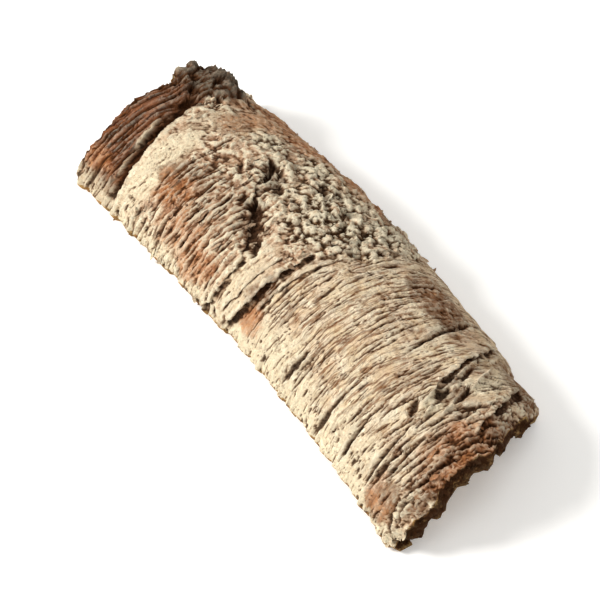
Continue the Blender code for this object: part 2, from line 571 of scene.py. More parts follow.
@dataclass(frozen=True)
class WeatheredFace:
    """Relief and finishes of the outer face.

    A row of a patch gives its middle, its half sizes and its strength, which is 1 where it is left out. A row
    of a slit gives its start, end, width and depth, and where it is widest, if that isn't its middle.
    """

    noise: Noise = field(default_factory=lambda: Noise(41))
    band_edge_across: tuple[float, ...] = (-43, -30, -20, -10, -1, 8)
    band_edge_along: tuple[float, ...] = (18.3, 18.7, 17.4, 15.8, 14.5, 13)
    band_depth: float = 1.5
    band_side: Place = (4, 9)
    old_edge_across: tuple[float, ...] = (-43, -30, -14, 0, 12, 34)
    old_edge_along: tuple[float, ...] = (76, 79.5, 82, 88, 92, 94)
    step_height: float = 0.7  # the old layers stand this much over the smooth bark
    crust: Patch = Patch((5.0, 14.5), (12.0, 13.0))
    crust_height: float = 3.2
    scar: Patch = Patch((151.0, 3.0), (3.8, 6.5))
    scar_depth: float = 0.9
    near_rough_edge: Place = (158.0, -0.2)  # where the bared layers start at the crest, and their slant
    flank_drop: float = 3.0
    flank_length: float = 62.0

    ledges: tuple[Ledge, ...] = (
        Ledge(
            (-40, -30, -20, -10, -1, 5), (18.5, 18.7, 17.4, 15.8, 14.5, 13.6),
            -1, 0.5, 1.8, 1, width=2.4, steady=1,
        ),
        Ledge(
            (-43, -30, -22, -15, -9, -4, 2, 7), (66, 69.5, 69.5, 62.5, 56, 52, 48.5, 44),
            1, 0.8, 0.9, 0.7, reach=8, ragged=1.3, width=0.8, steady=0.35,
        ),
        Ledge(
            (-41, -36, -30, -22, -14, -4), (76.5, 77.5, 79.5, 81, 82, 84),
            1, 0.7, 1.4, 1, ragged=1.2, width=1.2, steady=0.5,
        ),
        Ledge((-38, -30, -20, -12), (73.5, 75.5, 77, 78.5), 1, 0.4, 0.7, 0.5, width=0.5, steady=0.5),
        Ledge((-30, -20, -8, 2), (84, 85.5, 87.5, 90), 1, 0.4, 0.6, 0.5, width=0.5, steady=0.4),
        Ledge((-8, 0, 10, 20, 33), (83.5, 87, 91, 92.5, 93.5), 1, 0.3, 0.4, 0.4, fade=5),
        Ledge(
            (-36, -29, -20, -15, -6, -1), (161.5, 160, 158, 155, 148.5, 147),
            1, 0.4, 0.2, 0.1, ragged=1.8, steady=0,
        ),
        Ledge(
            (-4, 4, 15, 31), (147, 144, 140, 135),
            1, 0.8, 1.3, 0.8, reach=5, ragged=1.7, width=1, steady=0.6,
        ),
        Ledge((-39, -34, -28, -21), (170, 168.5, 167.5, 166.5), -1, 0.9, 0.8, 0.5, reach=3, width=1.2),
        Ledge(
            (1, 10, 20, 29), (167, 161.5, 156.5, 153),
            1, 0.9, 1.5, 0.9, reach=7, ragged=1.4, width=1.5, steady=0.8,
        ),
    )
    slits: tuple[Slit, ...] = from_rows(
        Slit,
        (107.9, -24.5, 105.3, -39.5, 1.9, 1.7), (112.1, -26.5, 110.6, -38, 1.1, 0.8),
        (120.4, -26.5, 119.4, -36, 0.9, 0.7), (129.2, -12, 125, -42.5, 1.3, 1.3, 0.72),
        (127.4, -31, 125.9, -42, 1.4, 1.1), (139.4, -9, 139.2, -40, 1.1, 1.1, 0.7),
        (139.6, -25, 139.2, -38.5, 1.5, 1.2), (112.2, -4.5, 109.4, -31, 0.7, 0.5),
        (96.4, -3, 97.2, -15, 1, 0.8), (89, 2, 86, -39, 0.8, 0.6), (92.3, -8, 91, -24, 0.6, 0.4),
        (124, 34, 130.2, -3, 1.7, 1.5, 0.45), (149, -12.5, 145.2, -7, 2.6, 1.9),
        (150.5, -5, 147.5, 3, 1.8, 1.3), (154, 1, 150, 9, 1.8, 1.2), (147.5, 7, 143.5, 14, 1.5, 1.1),
        (54, -7, 71.5, -19, 7.5, 3.2, 0.55), (45, 7.5, 52, -1, 3.6, 2.1), (47.5, 10, 51.5, 4.5, 2.2, 1.4),
        (54, 3.5, 58.5, -1, 2.4, 1.5), (40.5, -1, 45, -5, 2, 1.3), (59.5, 15.5, 67.5, 10, 3.4, 1.9),
        (146.5, 11, 144.5, 0, 1.6, 1.3), (151.6, -11, 152.4, -38, 1.4, 1.4, 0.6),
        (154.6, -13, 155.2, -36, 1.2, 1.2), (157.8, -11.5, 158.2, -29, 1.2, 1.2),
        (161.5, -10, 159.5, -27, 0.8, 0.8), (163.6, -11, 162, -28, 0.8, 0.8),
        (165.6, -13, 164.4, -27, 0.8, 0.8), (166, -21, 171.5, -35, 1, 1),
    )
    torn: tuple[Slit, ...] = from_rows(  # fibres about the scar, which stand up: their depth is less than 0
        Slit,
        (152.5, -9.5, 148, 0.5, 1.4, -1.2), (148.5, -7, 144, 4.5, 1.3, -1.1),
        (155, -4, 150.5, 7, 1.5, -1.2), (146.5, 4, 141, 18, 1.3, -1.1), (151.5, 8, 145.5, 20, 1.4, -0.9),
        (143.5, 20, 139, 29, 1.3, -0.9),
    )
    rust: tuple[Patch, ...] = from_rows(
        Patch,
        (56, -33, 11, 9, 0.8), (45, -30, 13, 10, 0.6), (36, -22, 10, 9, 0.7), (84, -33, 5.5, 6.5, 0.8),
        (167.5, -3.5, 10.5, 14, 0.86), (156.5, -34.5, 5, 8, 0.58), (162, -35.5, 6, 6, 0.52),
        (164.5, -8, 8.5, 13, 0.62), (171.5, -5, 4, 18, 0.7), (5, -31, 9, 5, 0.6), (26, 17, 12, 9, 0.65),
        (26, 8, 7, 6, 0.5), (42, 30, 38, 12), (55, 25, 5, 5, 0.4), (114, 21, 13, 7, 0.4),
        (170.5, -17, 3.5, 10, 0.7),
    )
    brown: tuple[Patch, ...] = from_rows(
        Patch,
        (35, -19, 10, 9, 0.95), (46, -16, 16, 14, 0.5), (26, 7, 7, 8, 0.55), (117, 20, 17, 9, 0.95),
        (60, 33, 28, 8, 0.7), (150, 30, 14, 10, 0.7), (171, 8, 8, 18, 0.9), (60, -14, 6, 8, 0.55),
        (99, 3, 8, 7, 0.3), (82, -27, 4.5, 10, 0.85), (160, -34, 9, 9.5, 0.8), (166, -9, 8, 13, 0.55),
        (171, -14, 5, 18, 0.9),
    )
    lichen: tuple[Patch, ...] = from_rows(
        Patch,
        (74, 9, 21, 17), (56, 20, 12, 10, 0.8), (84, 22, 12, 14, 0.9), (49, 5, 9, 8, 0.6),
        (37.5, 11, 7, 6, 0.7),
    )
    # patches of painted shade in the troughs by the second ledge and among the lichen, laid in the dark crust's
    # colour
    shaded_troughs: tuple[Patch, ...] = from_rows(
        Patch,
        (83, 6, 8, 9, 0.7), (49, 2, 8, 6, 0.9), (56, -7, 5, 8, 0.8),
    )
    calm: tuple[Patch, ...] = from_rows(
        Patch,
        (23.5, -20, 6.5, 24, 0.9), (74, -25, 7.5, 16, 0.85), (60, 5, 6, 6, 0.5), (27, 11, 11, 13, 0.7),
        (42, 30, 30, 10, 0.6),
    )
    bleached: tuple[Patch, ...] = from_rows(
        Patch,
        (23.5, -20, 6, 24, 0.9), (74, -26, 7, 14, 0.6), (66, 24, 8, 5, 0.8), (52, 18, 4, 6, 0.8),
        (37, 11, 4.5, 5, 0.9), (100, -36, 26, 12, 0.8), (146, -34, 22, 12, 0.7), (22, 4, 6, 9, 0.5),
        (149.5, -3, 4.5, 6), (151, 13, 4, 8, 0.7), (169.5, -30, 1.6, 7),
    )
    checked: tuple[Patch, ...] = from_rows(
        Patch,
        (113, 5, 21, 11), (118, 18, 16, 8, 0.8),
    )
    mottled: Patch = Patch((117.0, 22.0), (18.0, 9.0))
    slit_seed: int = 9

    def small_slits(self) -> list[Slit]:
        """Short fine cracks over the smooth bark, the bared band, the near end and the old layers.

        Returns:
            The cracks, in a fixed scatter.
        """
        rng = np.random.default_rng(self.slit_seed)
        made = []
        for low, high, count, length, width in (
            ((86.0, -41.0), (158.0, 26.0), 140, (3.0, 16.0), (0.35, 0.65)),
            ((-1.0, -42.0), (15.0, 6.0), 30, (6.0, 22.0), (0.5, 0.9)),
            ((153.0, -38.0), (171.0, 4.0), 64, (4.0, 14.0), (0.45, 1.0)),
            ((29.0, -41.0), (64.0, -6.0), 90, (3.0, 10.0), (0.5, 0.9)),
        ):
            for _ in range(count):
                start = rng.uniform(low, high)
                run = rng.uniform(*length)
                slant = rng.normal(0.1, 0.07) * run
                thickness = rng.uniform(*width)
                end = (start[0] + slant, start[1] + run)
                made.append(Slit((start[0], start[1]), end, thickness, thickness * 1.25))
        return made

    def gather(self, patches: Sequence[Patch], along: Array, across: Array, ragged: Array) -> Array:
        """The strongest of several patches at each place.

        Args:
            patches: The patches.
            along: Places along the slab.
            across: Places across it.
            ragged: Noise that frays their outlines.

        Returns:
            How much of them shows.
        """
        total = np.zeros_like(along)
        for patch in patches:
            total = np.maximum(total, patch.mask(along, across, ragged))
        return total

    def shape(self, along: Array, across: Array) -> Relief:
        """Relief and finishes at places of the outer face.

        Args:
            along: Places along the slab.
            across: Places across it.

        Returns:
            The face's relief.
        """
        noise = self.noise
        ragged = noise.layered(along / 6, across / 6, 4, 5, 0.6)
        wander = 1.4 * noise.layered(along / 24, across / 20, 3, 1)
        grown = along - 0.1 * across + wander

        band_line = np.interp(across, self.band_edge_across, self.band_edge_along)
        band = 1.0 - smooth_step(band_line - 0.3, band_line + 0.3, along)
        band = band * (1.0 - smooth_step(self.band_side[0], self.band_side[1], across + 2.5 * ragged))
        old_line = np.interp(across, self.old_edge_across, self.old_edge_along)
        old = (1.0 - smooth_step(old_line - 1.0, old_line + 1.0, along + 2.0 * ragged)) * (1.0 - band)
        crust = self.crust.mask(along, across, ragged)
        near_line = self.near_rough_edge[0] + self.near_rough_edge[1] * across
        bared = smooth_step(near_line - 2.0, near_line + 4.0, along + 3.0 * ragged)
        lichen = self.gather(self.lichen, along, across, ragged) * (1.0 - band)
        calm = self.gather(self.calm, along, across, 0.8 * ragged)
        bleached = self.gather(self.bleached, along, across, 0.6 * ragged) * (1.0 - band)
        ground = self.gather(self.shaded_troughs, along, across, ragged)
        brown = self.gather(self.brown, along, across, 1.4 * ragged)
        checked = self.gather(self.checked, along, across, ragged)
        mottled = self.mottled.mask(along, across, ragged)
        rough = unit(old * (1.0 - 0.8 * calm) + 0.6 * bared + 0.6 * mottled)
        plain = unit(1.0 - band - rough)

        # slow shape
        rise = 0.45 * noise.layered(along / 17, across / 15, 3, 21)
        rise = rise + 0.2 * noise.layered(along / 6, across / 6, 2, 25)
        flank = smooth_step(6.0, 30.0, across) * (1.0 - smooth_step(0.0, self.flank_length, along))
        rise = rise - self.flank_drop * flank - self.band_depth * band
        rise = rise + self.crust_height * self.crust.mask(along, across, 0.2 * ragged)
        rise = rise + self.step_height * (1.0 - smooth_step(old_line - 0.6, old_line + 0.6, along))

        # smooth bark: growth lines round the branch, and a patch checked by lines along it
        fine = noise.layered(grown / 0.8, across / 13, 2, 31)
        broad = noise.layered(grown / 2.3, across / 21, 3, 37)
        patchy = smooth_step(-0.3, 0.5, noise.layered(along / 11, across / 9, 2, 43))
        lines = noise.threads(grown / 2.1, across / 22, 0.07, 47) * (0.3 + 0.7 * patchy)
        lengthwise = noise.layered(along / 17, across / 0.95, 2, 61)
        squares = checked * np.abs(lengthwise) * 1.6
        rise = rise + plain * (0.2 * fine + 0.5 * broad - 0.65 * lines + 0.34 * checked * lengthwise)

        # bared band: fibrous ribs
        ribs = noise.layered(grown / 1.5, across / 34, 3, 53, 0.6)
        rib_lines = noise.threads(grown / 2.9, across / 36, 0.13, 59)
        rise = rise + band * (0.55 * ribs - 0.6 * rib_lines + 0.1 * fine)
        strip = smooth_step(-33.0, -28.0, across) * smooth_step(-7.0, -12.0, across)
        strip = strip * hump(band_line - along + 1.2 * ragged, 4.9, 0.6)
        rise = rise + 1.0 * strip

        # old layers: broken strata, leaning scales and ridges round the branch
        bend_a = 1.7 * noise.layered(along / 5, across / 5, 3, 67)
        bend_c = 1.7 * noise.layered(along / 5, across / 5, 3, 71)
        scales = noise.scales((grown + bend_a) / 3, (across + bend_c) / 5.2, 73)
        chips = noise.scales((grown + bend_c) / 1.5, (across + bend_a) / 2.3, 77)
        swells = noise.layered((along + bend_a) / 12, (across + bend_c) / 10, 4, 83, 0.6)
        layers, feet = strata(2.0 * swells, 0.45, 0.14)
        streaky = np.maximum(smooth_step(-8.0, -18.0, across + 4.0 * ragged) * old, 0.75 * bared)
        ridges = noise.ridged((grown + 0.25 * bend_a) / 2.6, across / 13, 3, 89) - 0.55
        crumbs = noise.layered(along / 1.4, across / 1.5, 3, 97, 0.65)
        grainy = 0.25 + 0.75 * smooth_step(-0.25, 0.35, noise.layered(along / 8, across / 8, 3, 93))
        scaly = 0.4 * scales + 1.3 * layers + grainy * (0.3 * chips + 0.25 * crumbs)
        scaly = scaly * (1.0 - 0.85 * streaky) * (1.0 - 0.6 * lichen)
        rise = rise + rough * (scaly + (0.25 + 1.6 * streaky) * ridges)

        # the near end's layers break off one after the other
        worn_back = 2.2 * noise.layered((along + bend_a) / 7, (across + bend_c) / 8, 4, 101, 0.6)
        steps, step_feet = strata(worn_back - 0.10 * (along - near_line), 0.55, 0.16)
        rise = rise + bared * (0.85 * np.maximum(steps, -2.0) + 0.5)

        # lichen and crust
        warts = noise.cells((along + 0.9 * bend_a) / 3.8, (across + 0.9 * bend_c) / 3.4, 109)
        small_warts = noise.cells((along + 0.4 * bend_c) / 1.6, (across + 0.4 * bend_a) / 1.6, 113)
        domes = warts.domes(0.2, 0.65)
        knobs = noise.scales((along + bend_a) / 3.6, (across + bend_c) / 3.8, 127)
        nodules = 1.2 * domes + 0.3 * small_warts.domes(0.15, 0.55) + 0.8 * knobs + 0.3 * chips
        rise = rise + lichen * (nodules - 0.6)
        blocks = noise.ridged((along + bend_c) / 3.4, (across + bend_a) / 3.6, 3, 131) - 0.55
        rise = rise + crust * (2.3 * knobs + 2.2 * blocks + 0.5 * crumbs)

        # pits and the twig scar
        pitted = unit(rough * (1.0 - streaky) * smooth_step(-0.1, 0.5, ragged) + ground)
        pits = noise.cells((along + bend_c) / 2.6, (across + bend_a) / 2.9, 137).pits(0.4, 0.5)
        dashes = noise.cells((along + 0.4 * bend_a) / 2.4, (across + bend_c) / 6.5, 141)
        rim_pits = dashes.pits(0.3, 0.4) * smooth_step(-29.0, -38.0, across)
        rise = rise - 0.9 * pits * pitted - 0.8 * rim_pits - 0.5 * ground
        scar = self.scar.mask(along, across, 1.3 * ragged)
        streaks = noise.layered(along / 1.3 + across / 3, across / 6, 2, 103)
        rise = rise - scar * (self.scar_depth + 0.6 * streaks)

        rise, slide, cracks = self.crack(along, across, rise)
        # dirt and painted shade in the hollows, cracks, gaps, step feet, lines, ribs and pits; ridges paler
        # from wear and painted highlight
        ridge = unit((rise - blur(rise, 2)) / 0.3)
        deep = 0.3 * hollows(rise, 1, 0.22) + 0.55 * hollows(rise, 3, 0.5)
        deep = deep + 0.55 * hollows(rise, 9, 1.3) + cracks
        deep = deep + 0.4 * feet * rough + 0.5 * step_feet * bared + 0.55 * lines * plain
        deep = deep + 0.45 * rib_lines * band + 0.6 * pits * pitted + 0.8 * rim_pits
        deep = deep + 0.35 * smooth_step(0.35, 0.9, squares) * plain
        masks = {
            Mask.DEEP: unit(deep),
            Mask.WORN_AND_LIT: ridge * (1.0 - unit(cracks)),
            Mask.BAND: band,
            Mask.ROUGH: rough,
            Mask.RUST: self.gather(self.rust, along, across, 1.3 * ragged),
            Mask.BROWN: unit(brown + 0.5 * scar),
            Mask.LICHEN: lichen,
            # the -Y flank, which faces the key light, is paled as painted light
            Mask.BLEACHED_AND_LIT: np.maximum(np.maximum(bleached, strip), smooth_step(-30.0, -41.0, across)),
            # the troughs' painted shade goes in as dark crust, except on the lichen's domes
            Mask.CRUST_AND_SHADE: unit(1.1 * crust + 0.6 * ground * (1.0 - domes) + 0.45 * scar),
            Mask.FLAKY: rough * (1.0 - 0.8 * lichen) * (0.3 + 0.7 * patchy) * (1.0 - crust),
            Mask.CRUMBLY: np.zeros_like(rise),
        }
        return Relief(rise, slide, masks)

    def crack(self, along: Array, across: Array, rise: Array) -> tuple[Array, Array, Array]:
        """Cuts the cracks, raises the torn fibres, breaks the ledges and paints shade into the cracks and gaps.

        Args:
            along: Places along the slab.
            across: Places across it.
            rise: The face's rise before that.

        Returns:
            The new rise, the slide along the slab, and the painted shade in the cracks and the ledges' gaps.
        """
        noise = self.noise
        wobble = 0.4 * noise.layered(along / 3, across / 3, 3, 107, 0.6)
        cracks = np.zeros_like(rise)
        for slit in (*self.slits, *self.torn, *self.small_slits()):
            opening = slit.opening(along, across, wobble)
            rise = rise - slit.depth * opening
            # painted shade in the crack, darker the deeper it is
            cracks = np.maximum(cracks, opening * min(0.95, 0.22 + 0.42 * slit.depth))
        slide = np.zeros_like(rise)
        for number, ledge in enumerate(self.ledges):
            ledge_rise, ledge_slide, gap = ledge.shape(along, across, noise, 149 + 7 * number)
            rise = rise + ledge_rise
            slide = slide + ledge_slide
            # painted shadow in the gap under the ledge
            cracks = np.maximum(cracks, gap * min(1.0, ledge.gap))
        cracks = cracks * (0.8 + 0.8 * noise.layered(along / 1.6, across / 1.9, 3, 199, 0.65))
        return rise, slide, cracks


@dataclass(frozen=True)
class CorkFace:
    """Relief and finishes of the raw cork: the hollow's face, and the long and short broken edges."""

    noise: Noise = field(default_factory=lambda: Noise(77))

    def hollow(self, along: Array, across: Array, length: Array) -> Relief:
        """Relief of the hollow's face, where the bark came off the wood.

        Args:
            along: Places along the slab.
            across: Places across it.
            length: Length of the slab at those places across.

        Returns:
            The face's relief, with a rise into the hollow.
        """
        noise = self.noise
        grain = noise.layered(along / 1.7, across / 1.5, 3, 1, 0.6)
        furrows = noise.layered(along / 26, across / 2.6, 3, 11)
        grooves = noise.threads(along / 30, across / 5, 0.12, 17)
        pits = noise.cells(along / 3.4, across / 3, 23).pits(0.36, 0.7)
        swell = noise.layered(along / 16, across / 13, 2, 29)
        rise = 0.24 * grain + 0.32 * furrows - 0.45 * grooves - 0.75 * pits + 0.5 * swell
        # dirt and painted shade in the pits, grooves and hollows; ridges paler from wear and painted highlight
        deep = 0.6 * hollows(rise, 2, 0.3) + 0.9 * pits + 0.35 * grooves
        weathered = smooth_step(length - 9.0, length - 2.0, along) + smooth_step(6.0, 0.0, along)
        browned = smooth_step(-0.1, 0.6, noise.layered(along / 22, across / 12, 3, 31))
        masks = {mask: np.zeros_like(rise) for mask in Mask}
        masks[Mask.DEEP] = unit(deep)
        masks[Mask.WORN_AND_LIT] = unit((rise - blur(rise, 3)) / 0.3)
        masks[Mask.BROWN] = unit(browned + weathered)
        masks[Mask.RUST] = 0.5 * smooth_step(0.1, 0.6, noise.layered(along / 12, across / 7, 3, 37))
        masks[Mask.CRUST_AND_SHADE] = 0.6 * weathered
        masks[Mask.CRUMBLY] = 0.12 * smooth_step(0.0, 0.5, grain)
        return Relief(rise, np.zeros_like(rise), masks)

    def broken(self, round_way: Array, through: Array, salt: int) -> tuple[Array, Array]:
        """The rough face of a broken end.

        Args:
            round_way: Places round the end, in millimetres.
            through: Places through the wall from the outer face, in millimetres.
            salt: Tells one end from the other.

        Returns:
            How far the face stands out, and how much dirt and painted shade its hollows take, from 0 to 1.
        """
        noise = self.noise
        layers = noise.layered(round_way / 16, through / 1.3, 2, salt)
        crumbs = noise.layered(round_way / 2.2, through / 1.8, 3, salt + 3, 0.6)
        bites = noise.ridged(round_way / 6.5, through / 5, 3, salt + 9)
        out = 0.6 * layers + 0.7 * crumbs + 1.6 * (bites - 0.6)
        return out, unit(0.4 - 0.8 * out)


@dataclass(frozen=True)
class GridSizes:
    """How finely the slab's mesh is divided."""

    rings: int = 430
    outer: int = 150
    inner: int = 50
    edge: int = 6  # points on each long edge's underside, and rows inside each broken end

    @property
    def ratio(self) -> int:
        """How many of the outer face's columns meet one of the hollow's."""
        return self.outer // self.inner


@dataclass(frozen=True)
class MapLayout:
    """Where each face starts on the bark's map, in millimetres."""

    right_edge: float = 43.0
    hollow: float = 90.0
    left_edge: float = -53.0
    ends: float = 200.0
    edge_step: float = 1.4  # from one point of a long edge's underside to the next


@dataclass(frozen=True)
class FaceGrid:
    """The outer face or the hollow's: a row to each ring round the slab, a column to each place across."""

    points: Array
    relief: Relief
    along: Array
    across: Array


@dataclass(frozen=True)
class EndCap:
    """Rows of points inside a broken end, between the outer face and the hollow."""

    points: Array
    masks: dict[Mask, Array]
    through: Array  # places through the wall from the outer face
    round_way: Array  # places round the end


def add_object(name: str, data: bpy.types.ID) -> bpy.types.Object:
    """Adds an object to the scene.

    Args:
        name: Its name.
        data: Its mesh, light or camera.

    Returns:
        The object.
    """
    added = bpy.data.objects.new(name, data)
    bpy.context.scene.collection.objects.link(added)
    return added


class MeshParts:
    """Gathers the points and faces of a mesh part by part, and makes them one object."""

    def __init__(self) -> None:
        """Starts with nothing."""
        self.points: list[Array] = []
        self.map_u: list[Array] = []
        self.map_v: list[Array] = []
        self.masks: dict[Mask, list[Array]] = {mask: [] for mask in Mask}
        self.faces: list[list[int]] = []
        self.slots: list[int] = []
        self.count = 0

    def add_points(self, points: Array, masks: dict[Mask, Array], map_u: Array, map_v: Array) -> Array:
        """Adds a grid of points.

        Args:
            points: The points, in millimetres.
            masks: Their masks.
            map_u: Their places along on the bark's map.
            map_v: Their places across on it.

        Returns:
            The points' numbers, as a grid.
        """
        numbers = self.count + np.arange(points[..., 0].size).reshape(points.shape[:2])
        self.count += numbers.size
        self.points.append(points.reshape(-1, 3))
        self.map_u.append(map_u.reshape(-1))
        self.map_v.append(map_v.reshape(-1))
        for mask, values in masks.items():
            self.masks[mask].append(values.reshape(-1))
        return numbers

    def add_faces(self, faces: list[list[int]], slots: list[int]) -> None:
        """Adds faces, with the material slot of each."""
        self.faces += faces
        self.slots += slots

    def make(self, name: str, materials: Sequence[bpy.types.Material], shift: Vector) -> bpy.types.Object:
        """Makes the object, with its masks and its map.

        Args:
            name: The object's name.
            materials: The material of each slot.
            shift: How far every point is moved, in millimetres.

        Returns:
            The object.
        """
        vertices = (np.concatenate(self.points) + np.array(shift)) * MM
        mesh = bpy.data.meshes.new(name)
        mesh.from_pydata(vertices.tolist(), [], self.faces)
        for material in materials:
            mesh.materials.append(material)
        mesh.polygons.foreach_set("material_index", self.slots)
        for mask, values in self.masks.items():
            attribute = mesh.attributes.new(mask.value, "FLOAT", "POINT")
            attribute.data.foreach_set("value", np.concatenate(values).astype(np.float32))
        uv = np.stack([np.concatenate(self.map_u), np.concatenate(self.map_v)], axis=1) / UV_UNIT
        corners = np.zeros(len(mesh.loops), dtype=np.int32)
        mesh.loops.foreach_get("vertex_index", corners)
        layer = mesh.uv_layers.new(name=UV_MAP)
        layer.data.foreach_set("uv", uv[corners].astype(np.float32).reshape(-1))
        self.turn_outwards(mesh)
        mesh.shade_smooth()
        return add_object(name, mesh)

    def turn_outwards(self, mesh: bpy.types.Mesh) -> None:
        """Turns every face of a mesh outwards.

        Args:
            mesh: The mesh.
        """
        work = bmesh.new()
        work.from_mesh(mesh)
        bmesh.ops.recalc_face_normals(work, faces=work.faces[:])
        work.to_mesh(mesh)
        work.free()


class BarkSlab:
    """The slab as one closed mesh: outer face, long edges, hollow and broken ends."""

    def __init__(self, sizes: SlabSizes, grid: GridSizes) -> None:
        """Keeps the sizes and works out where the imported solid's frame puts the slab.

        Args:
            sizes: The slab's plain shape.
            grid: How finely it is divided.
        """
        self.sizes = sizes
        self.grid = grid
        self.outer_face = WeatheredFace()
        self.cork = CorkFace()
        self.layout = MapLayout()
        self.shift = self.frame_shift()

    def frame_shift(self) -> Vector:
        """Compares the slab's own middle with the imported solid's.

        Returns:
            From the slab's middle to its place in the frame, in millimetres.
        """
        low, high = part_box(NODE)
        share = np.linspace(-1.0, 1.0, 201)
        far, near = self.sizes.end_offsets(share)
        near = near + self.sizes.near_end_hollow * (1.0 - share**2)
        middle_x = (far.min() + near.max()) / 2
        middle_y = self.sizes.side_bow / 2
        return Vector(((low.x + high.x) / 2 / MM - middle_x, (low.y + high.y) / 2 / MM - middle_y, 0.0))

    def polar(self, x: Array, angle: Array, radius: Array, aside: Array) -> Array:
        """Points at angles from the crest round the slab's bent axis.

        Args:
            x: Places along the slab.
            angle: Angles from the crest.
            radius: Distances from the axis.
            aside: How far each point is moved along Y.

        Returns:
            The points, in millimetres.
        """
        y = self.sizes.bow(x) + radius * np.sin(angle) + aside
        z = self.sizes.centre_z + radius * np.cos(angle)
        return np.stack(np.broadcast_arrays(x, y, z), axis=-1)

    def fray(self, share_along: Array, across: Array, salt: int) -> Array:
        """Ragged outline of the two broken ends.

        Args:
            share_along: Places along the slab, from 0 to 1.
            across: Places across it.
            salt: Tells one face from another.

        Returns:
            How far each point is moved along X.
        """
        noise = self.cork.noise
        level = np.full_like(across, 0.5)
        teeth = noise.scales(across / 2.4, level, salt + 23)
        teeth = teeth + 0.6 * noise.scales(across / 1.1, level, salt + 29)
        toothed = 0.3 + smooth_step(-0.3, 0.4, noise.layered(across / 8, level, 3, salt + 41))
        near = 1.6 * noise.layered(across / 7, level, 4, salt, 0.6) + toothed * teeth
        far = (0.6 + 0.9 * hump(across, 13.0, 9.0)) * teeth
        far = far + 0.7 * noise.layered(across / 4, level, 3, salt + 11)
        return near * smooth_step(0.955, 1.0, share_along) + far * smooth_step(0.03, 0.0, share_along)

    def outer_points(self, share_along: Array) -> FaceGrid:
        """Shapes the outer face.

        Args:
            share_along: Places along the slab, from 0 to 1, one to a ring.

        Returns:
            The outer face.
        """
        s = self.sizes
        share = np.linspace(-1.0, 1.0, self.grid.outer + 1)[None, :]
        x = s.x_of(share_along, share)
        angle = s.rim_angle * share
        along = x + s.length / 2
        across = np.broadcast_to(s.outer_radius * angle, along.shape)
        relief = self.outer_face.shape(along, across)
        fade = 1.0 - 0.45 * np.abs(share) ** 6
        radius = s.outer_radius + relief.rise * fade
        bitten = 0.7 + 0.6 * self.cork.noise.layered(along / 3, across / 4, 3, 613)
        radius = radius - s.end_wear * bitten * smooth_step(0.965, 1.0, share_along) ** 1.5
        level = np.broadcast_to(np.sign(share), along.shape)
        jags = 1.2 * self.cork.noise.layered(along / 4, level, 5, 601, 0.65)
        jags = jags + 0.7 * self.cork.noise.scales(along / 1.7, level, 607)
        aside = jags * np.abs(share) ** 9 - s.notch(along, share)
        moved = x + relief.slide * fade + self.fray(share_along, across, 611)
        points = self.polar(moved, angle, radius, aside)
        over = np.maximum(points[..., 2] - s.pressed_from, 0.0)
        points[..., 2] += s.pressed_to * np.tanh(over / s.pressed_to) - over
        return FaceGrid(points, relief, along, across)

    def inner_points(self, share_along: Array) -> FaceGrid:
        """Shapes the hollow's face.

        Args:
            share_along: Places along the slab, from 0 to 1, one to a ring.

        Returns:
            The hollow's face.
        """
        s = self.sizes
        share = np.linspace(-1.0, 1.0, self.grid.inner + 1)[None, :]
        x = s.x_of(share_along, share)
        along = x + s.length / 2
        angle = s.lip_angle * share
        across = np.broadcast_to(s.inner_radius * angle, along.shape)
        relief = self.cork.hollow(along, across, s.length + s.end_offsets(share)[1])
        fade = 1.0 - 0.7 * np.abs(share) ** 8
        radius = s.inner_radius - relief.rise * fade
        x = x + s.near_end_hollow * smooth_step(0.9, 1.0, share_along) * (1.0 - share**2)
        x = x + self.fray(share_along, across, 631)
        points = self.polar(x, angle, radius, -s.notch(along, share))
        return FaceGrid(points, relief, along, across)

    def edge_points(self, share_along: Array, rim: Array, lip: Array, side: float) -> Array:
        """Underside of a long edge, from the outer face's rim to the hollow's lip.

        Args:
            share_along: Places along, from 0 to 1, one to a ring.
            rim: The outer face's rim, one point to a ring.
            lip: The hollow's lip, one point to a ring.
            side: 1 for the +Y edge, -1 for the -Y edge.

        Returns:
            The points, ring by ring.
        """
        s = self.sizes
        lift = s.foot_lift(share_along[:, 0], side)
        outside = rim.copy()
        outside[:, 1] -= side * s.foot_start
        outside[:, 2] = lift
        inside = outside.copy()
        inside[:, 1] -= side * s.foot_width
        x = rim[:, 0]
        noise = self.cork.noise
        columns = []
        route = (
            (rim, outside, 0.45),
            (rim, outside, 1.0),
            (outside, inside, 0.35),
            (outside, inside, 0.7),
            (outside, inside, 1.0),
            (inside, lip, 0.5),
        )
        for number, (first, second, share) in enumerate(route):
            point = first + (second - first) * share
            sway = noise.layered(x / 3, np.full_like(x, 2.3 * number), 3, 51 + int(side))
            lumps = noise.layered(x / 2.1, np.full_like(x, 1.7 * number), 3, 61 + int(side))
            point[:, 1] += side * 0.5 * sway
            is_flat = 1 <= number <= 4
            rough = 0.35 * np.abs(lumps) * (lift > 0) if is_flat else 0.3 * lumps
            point[:, 2] = np.maximum(point[:, 2] + rough, 0.0)
            columns.append(point)
        return np.stack(columns, axis=1)

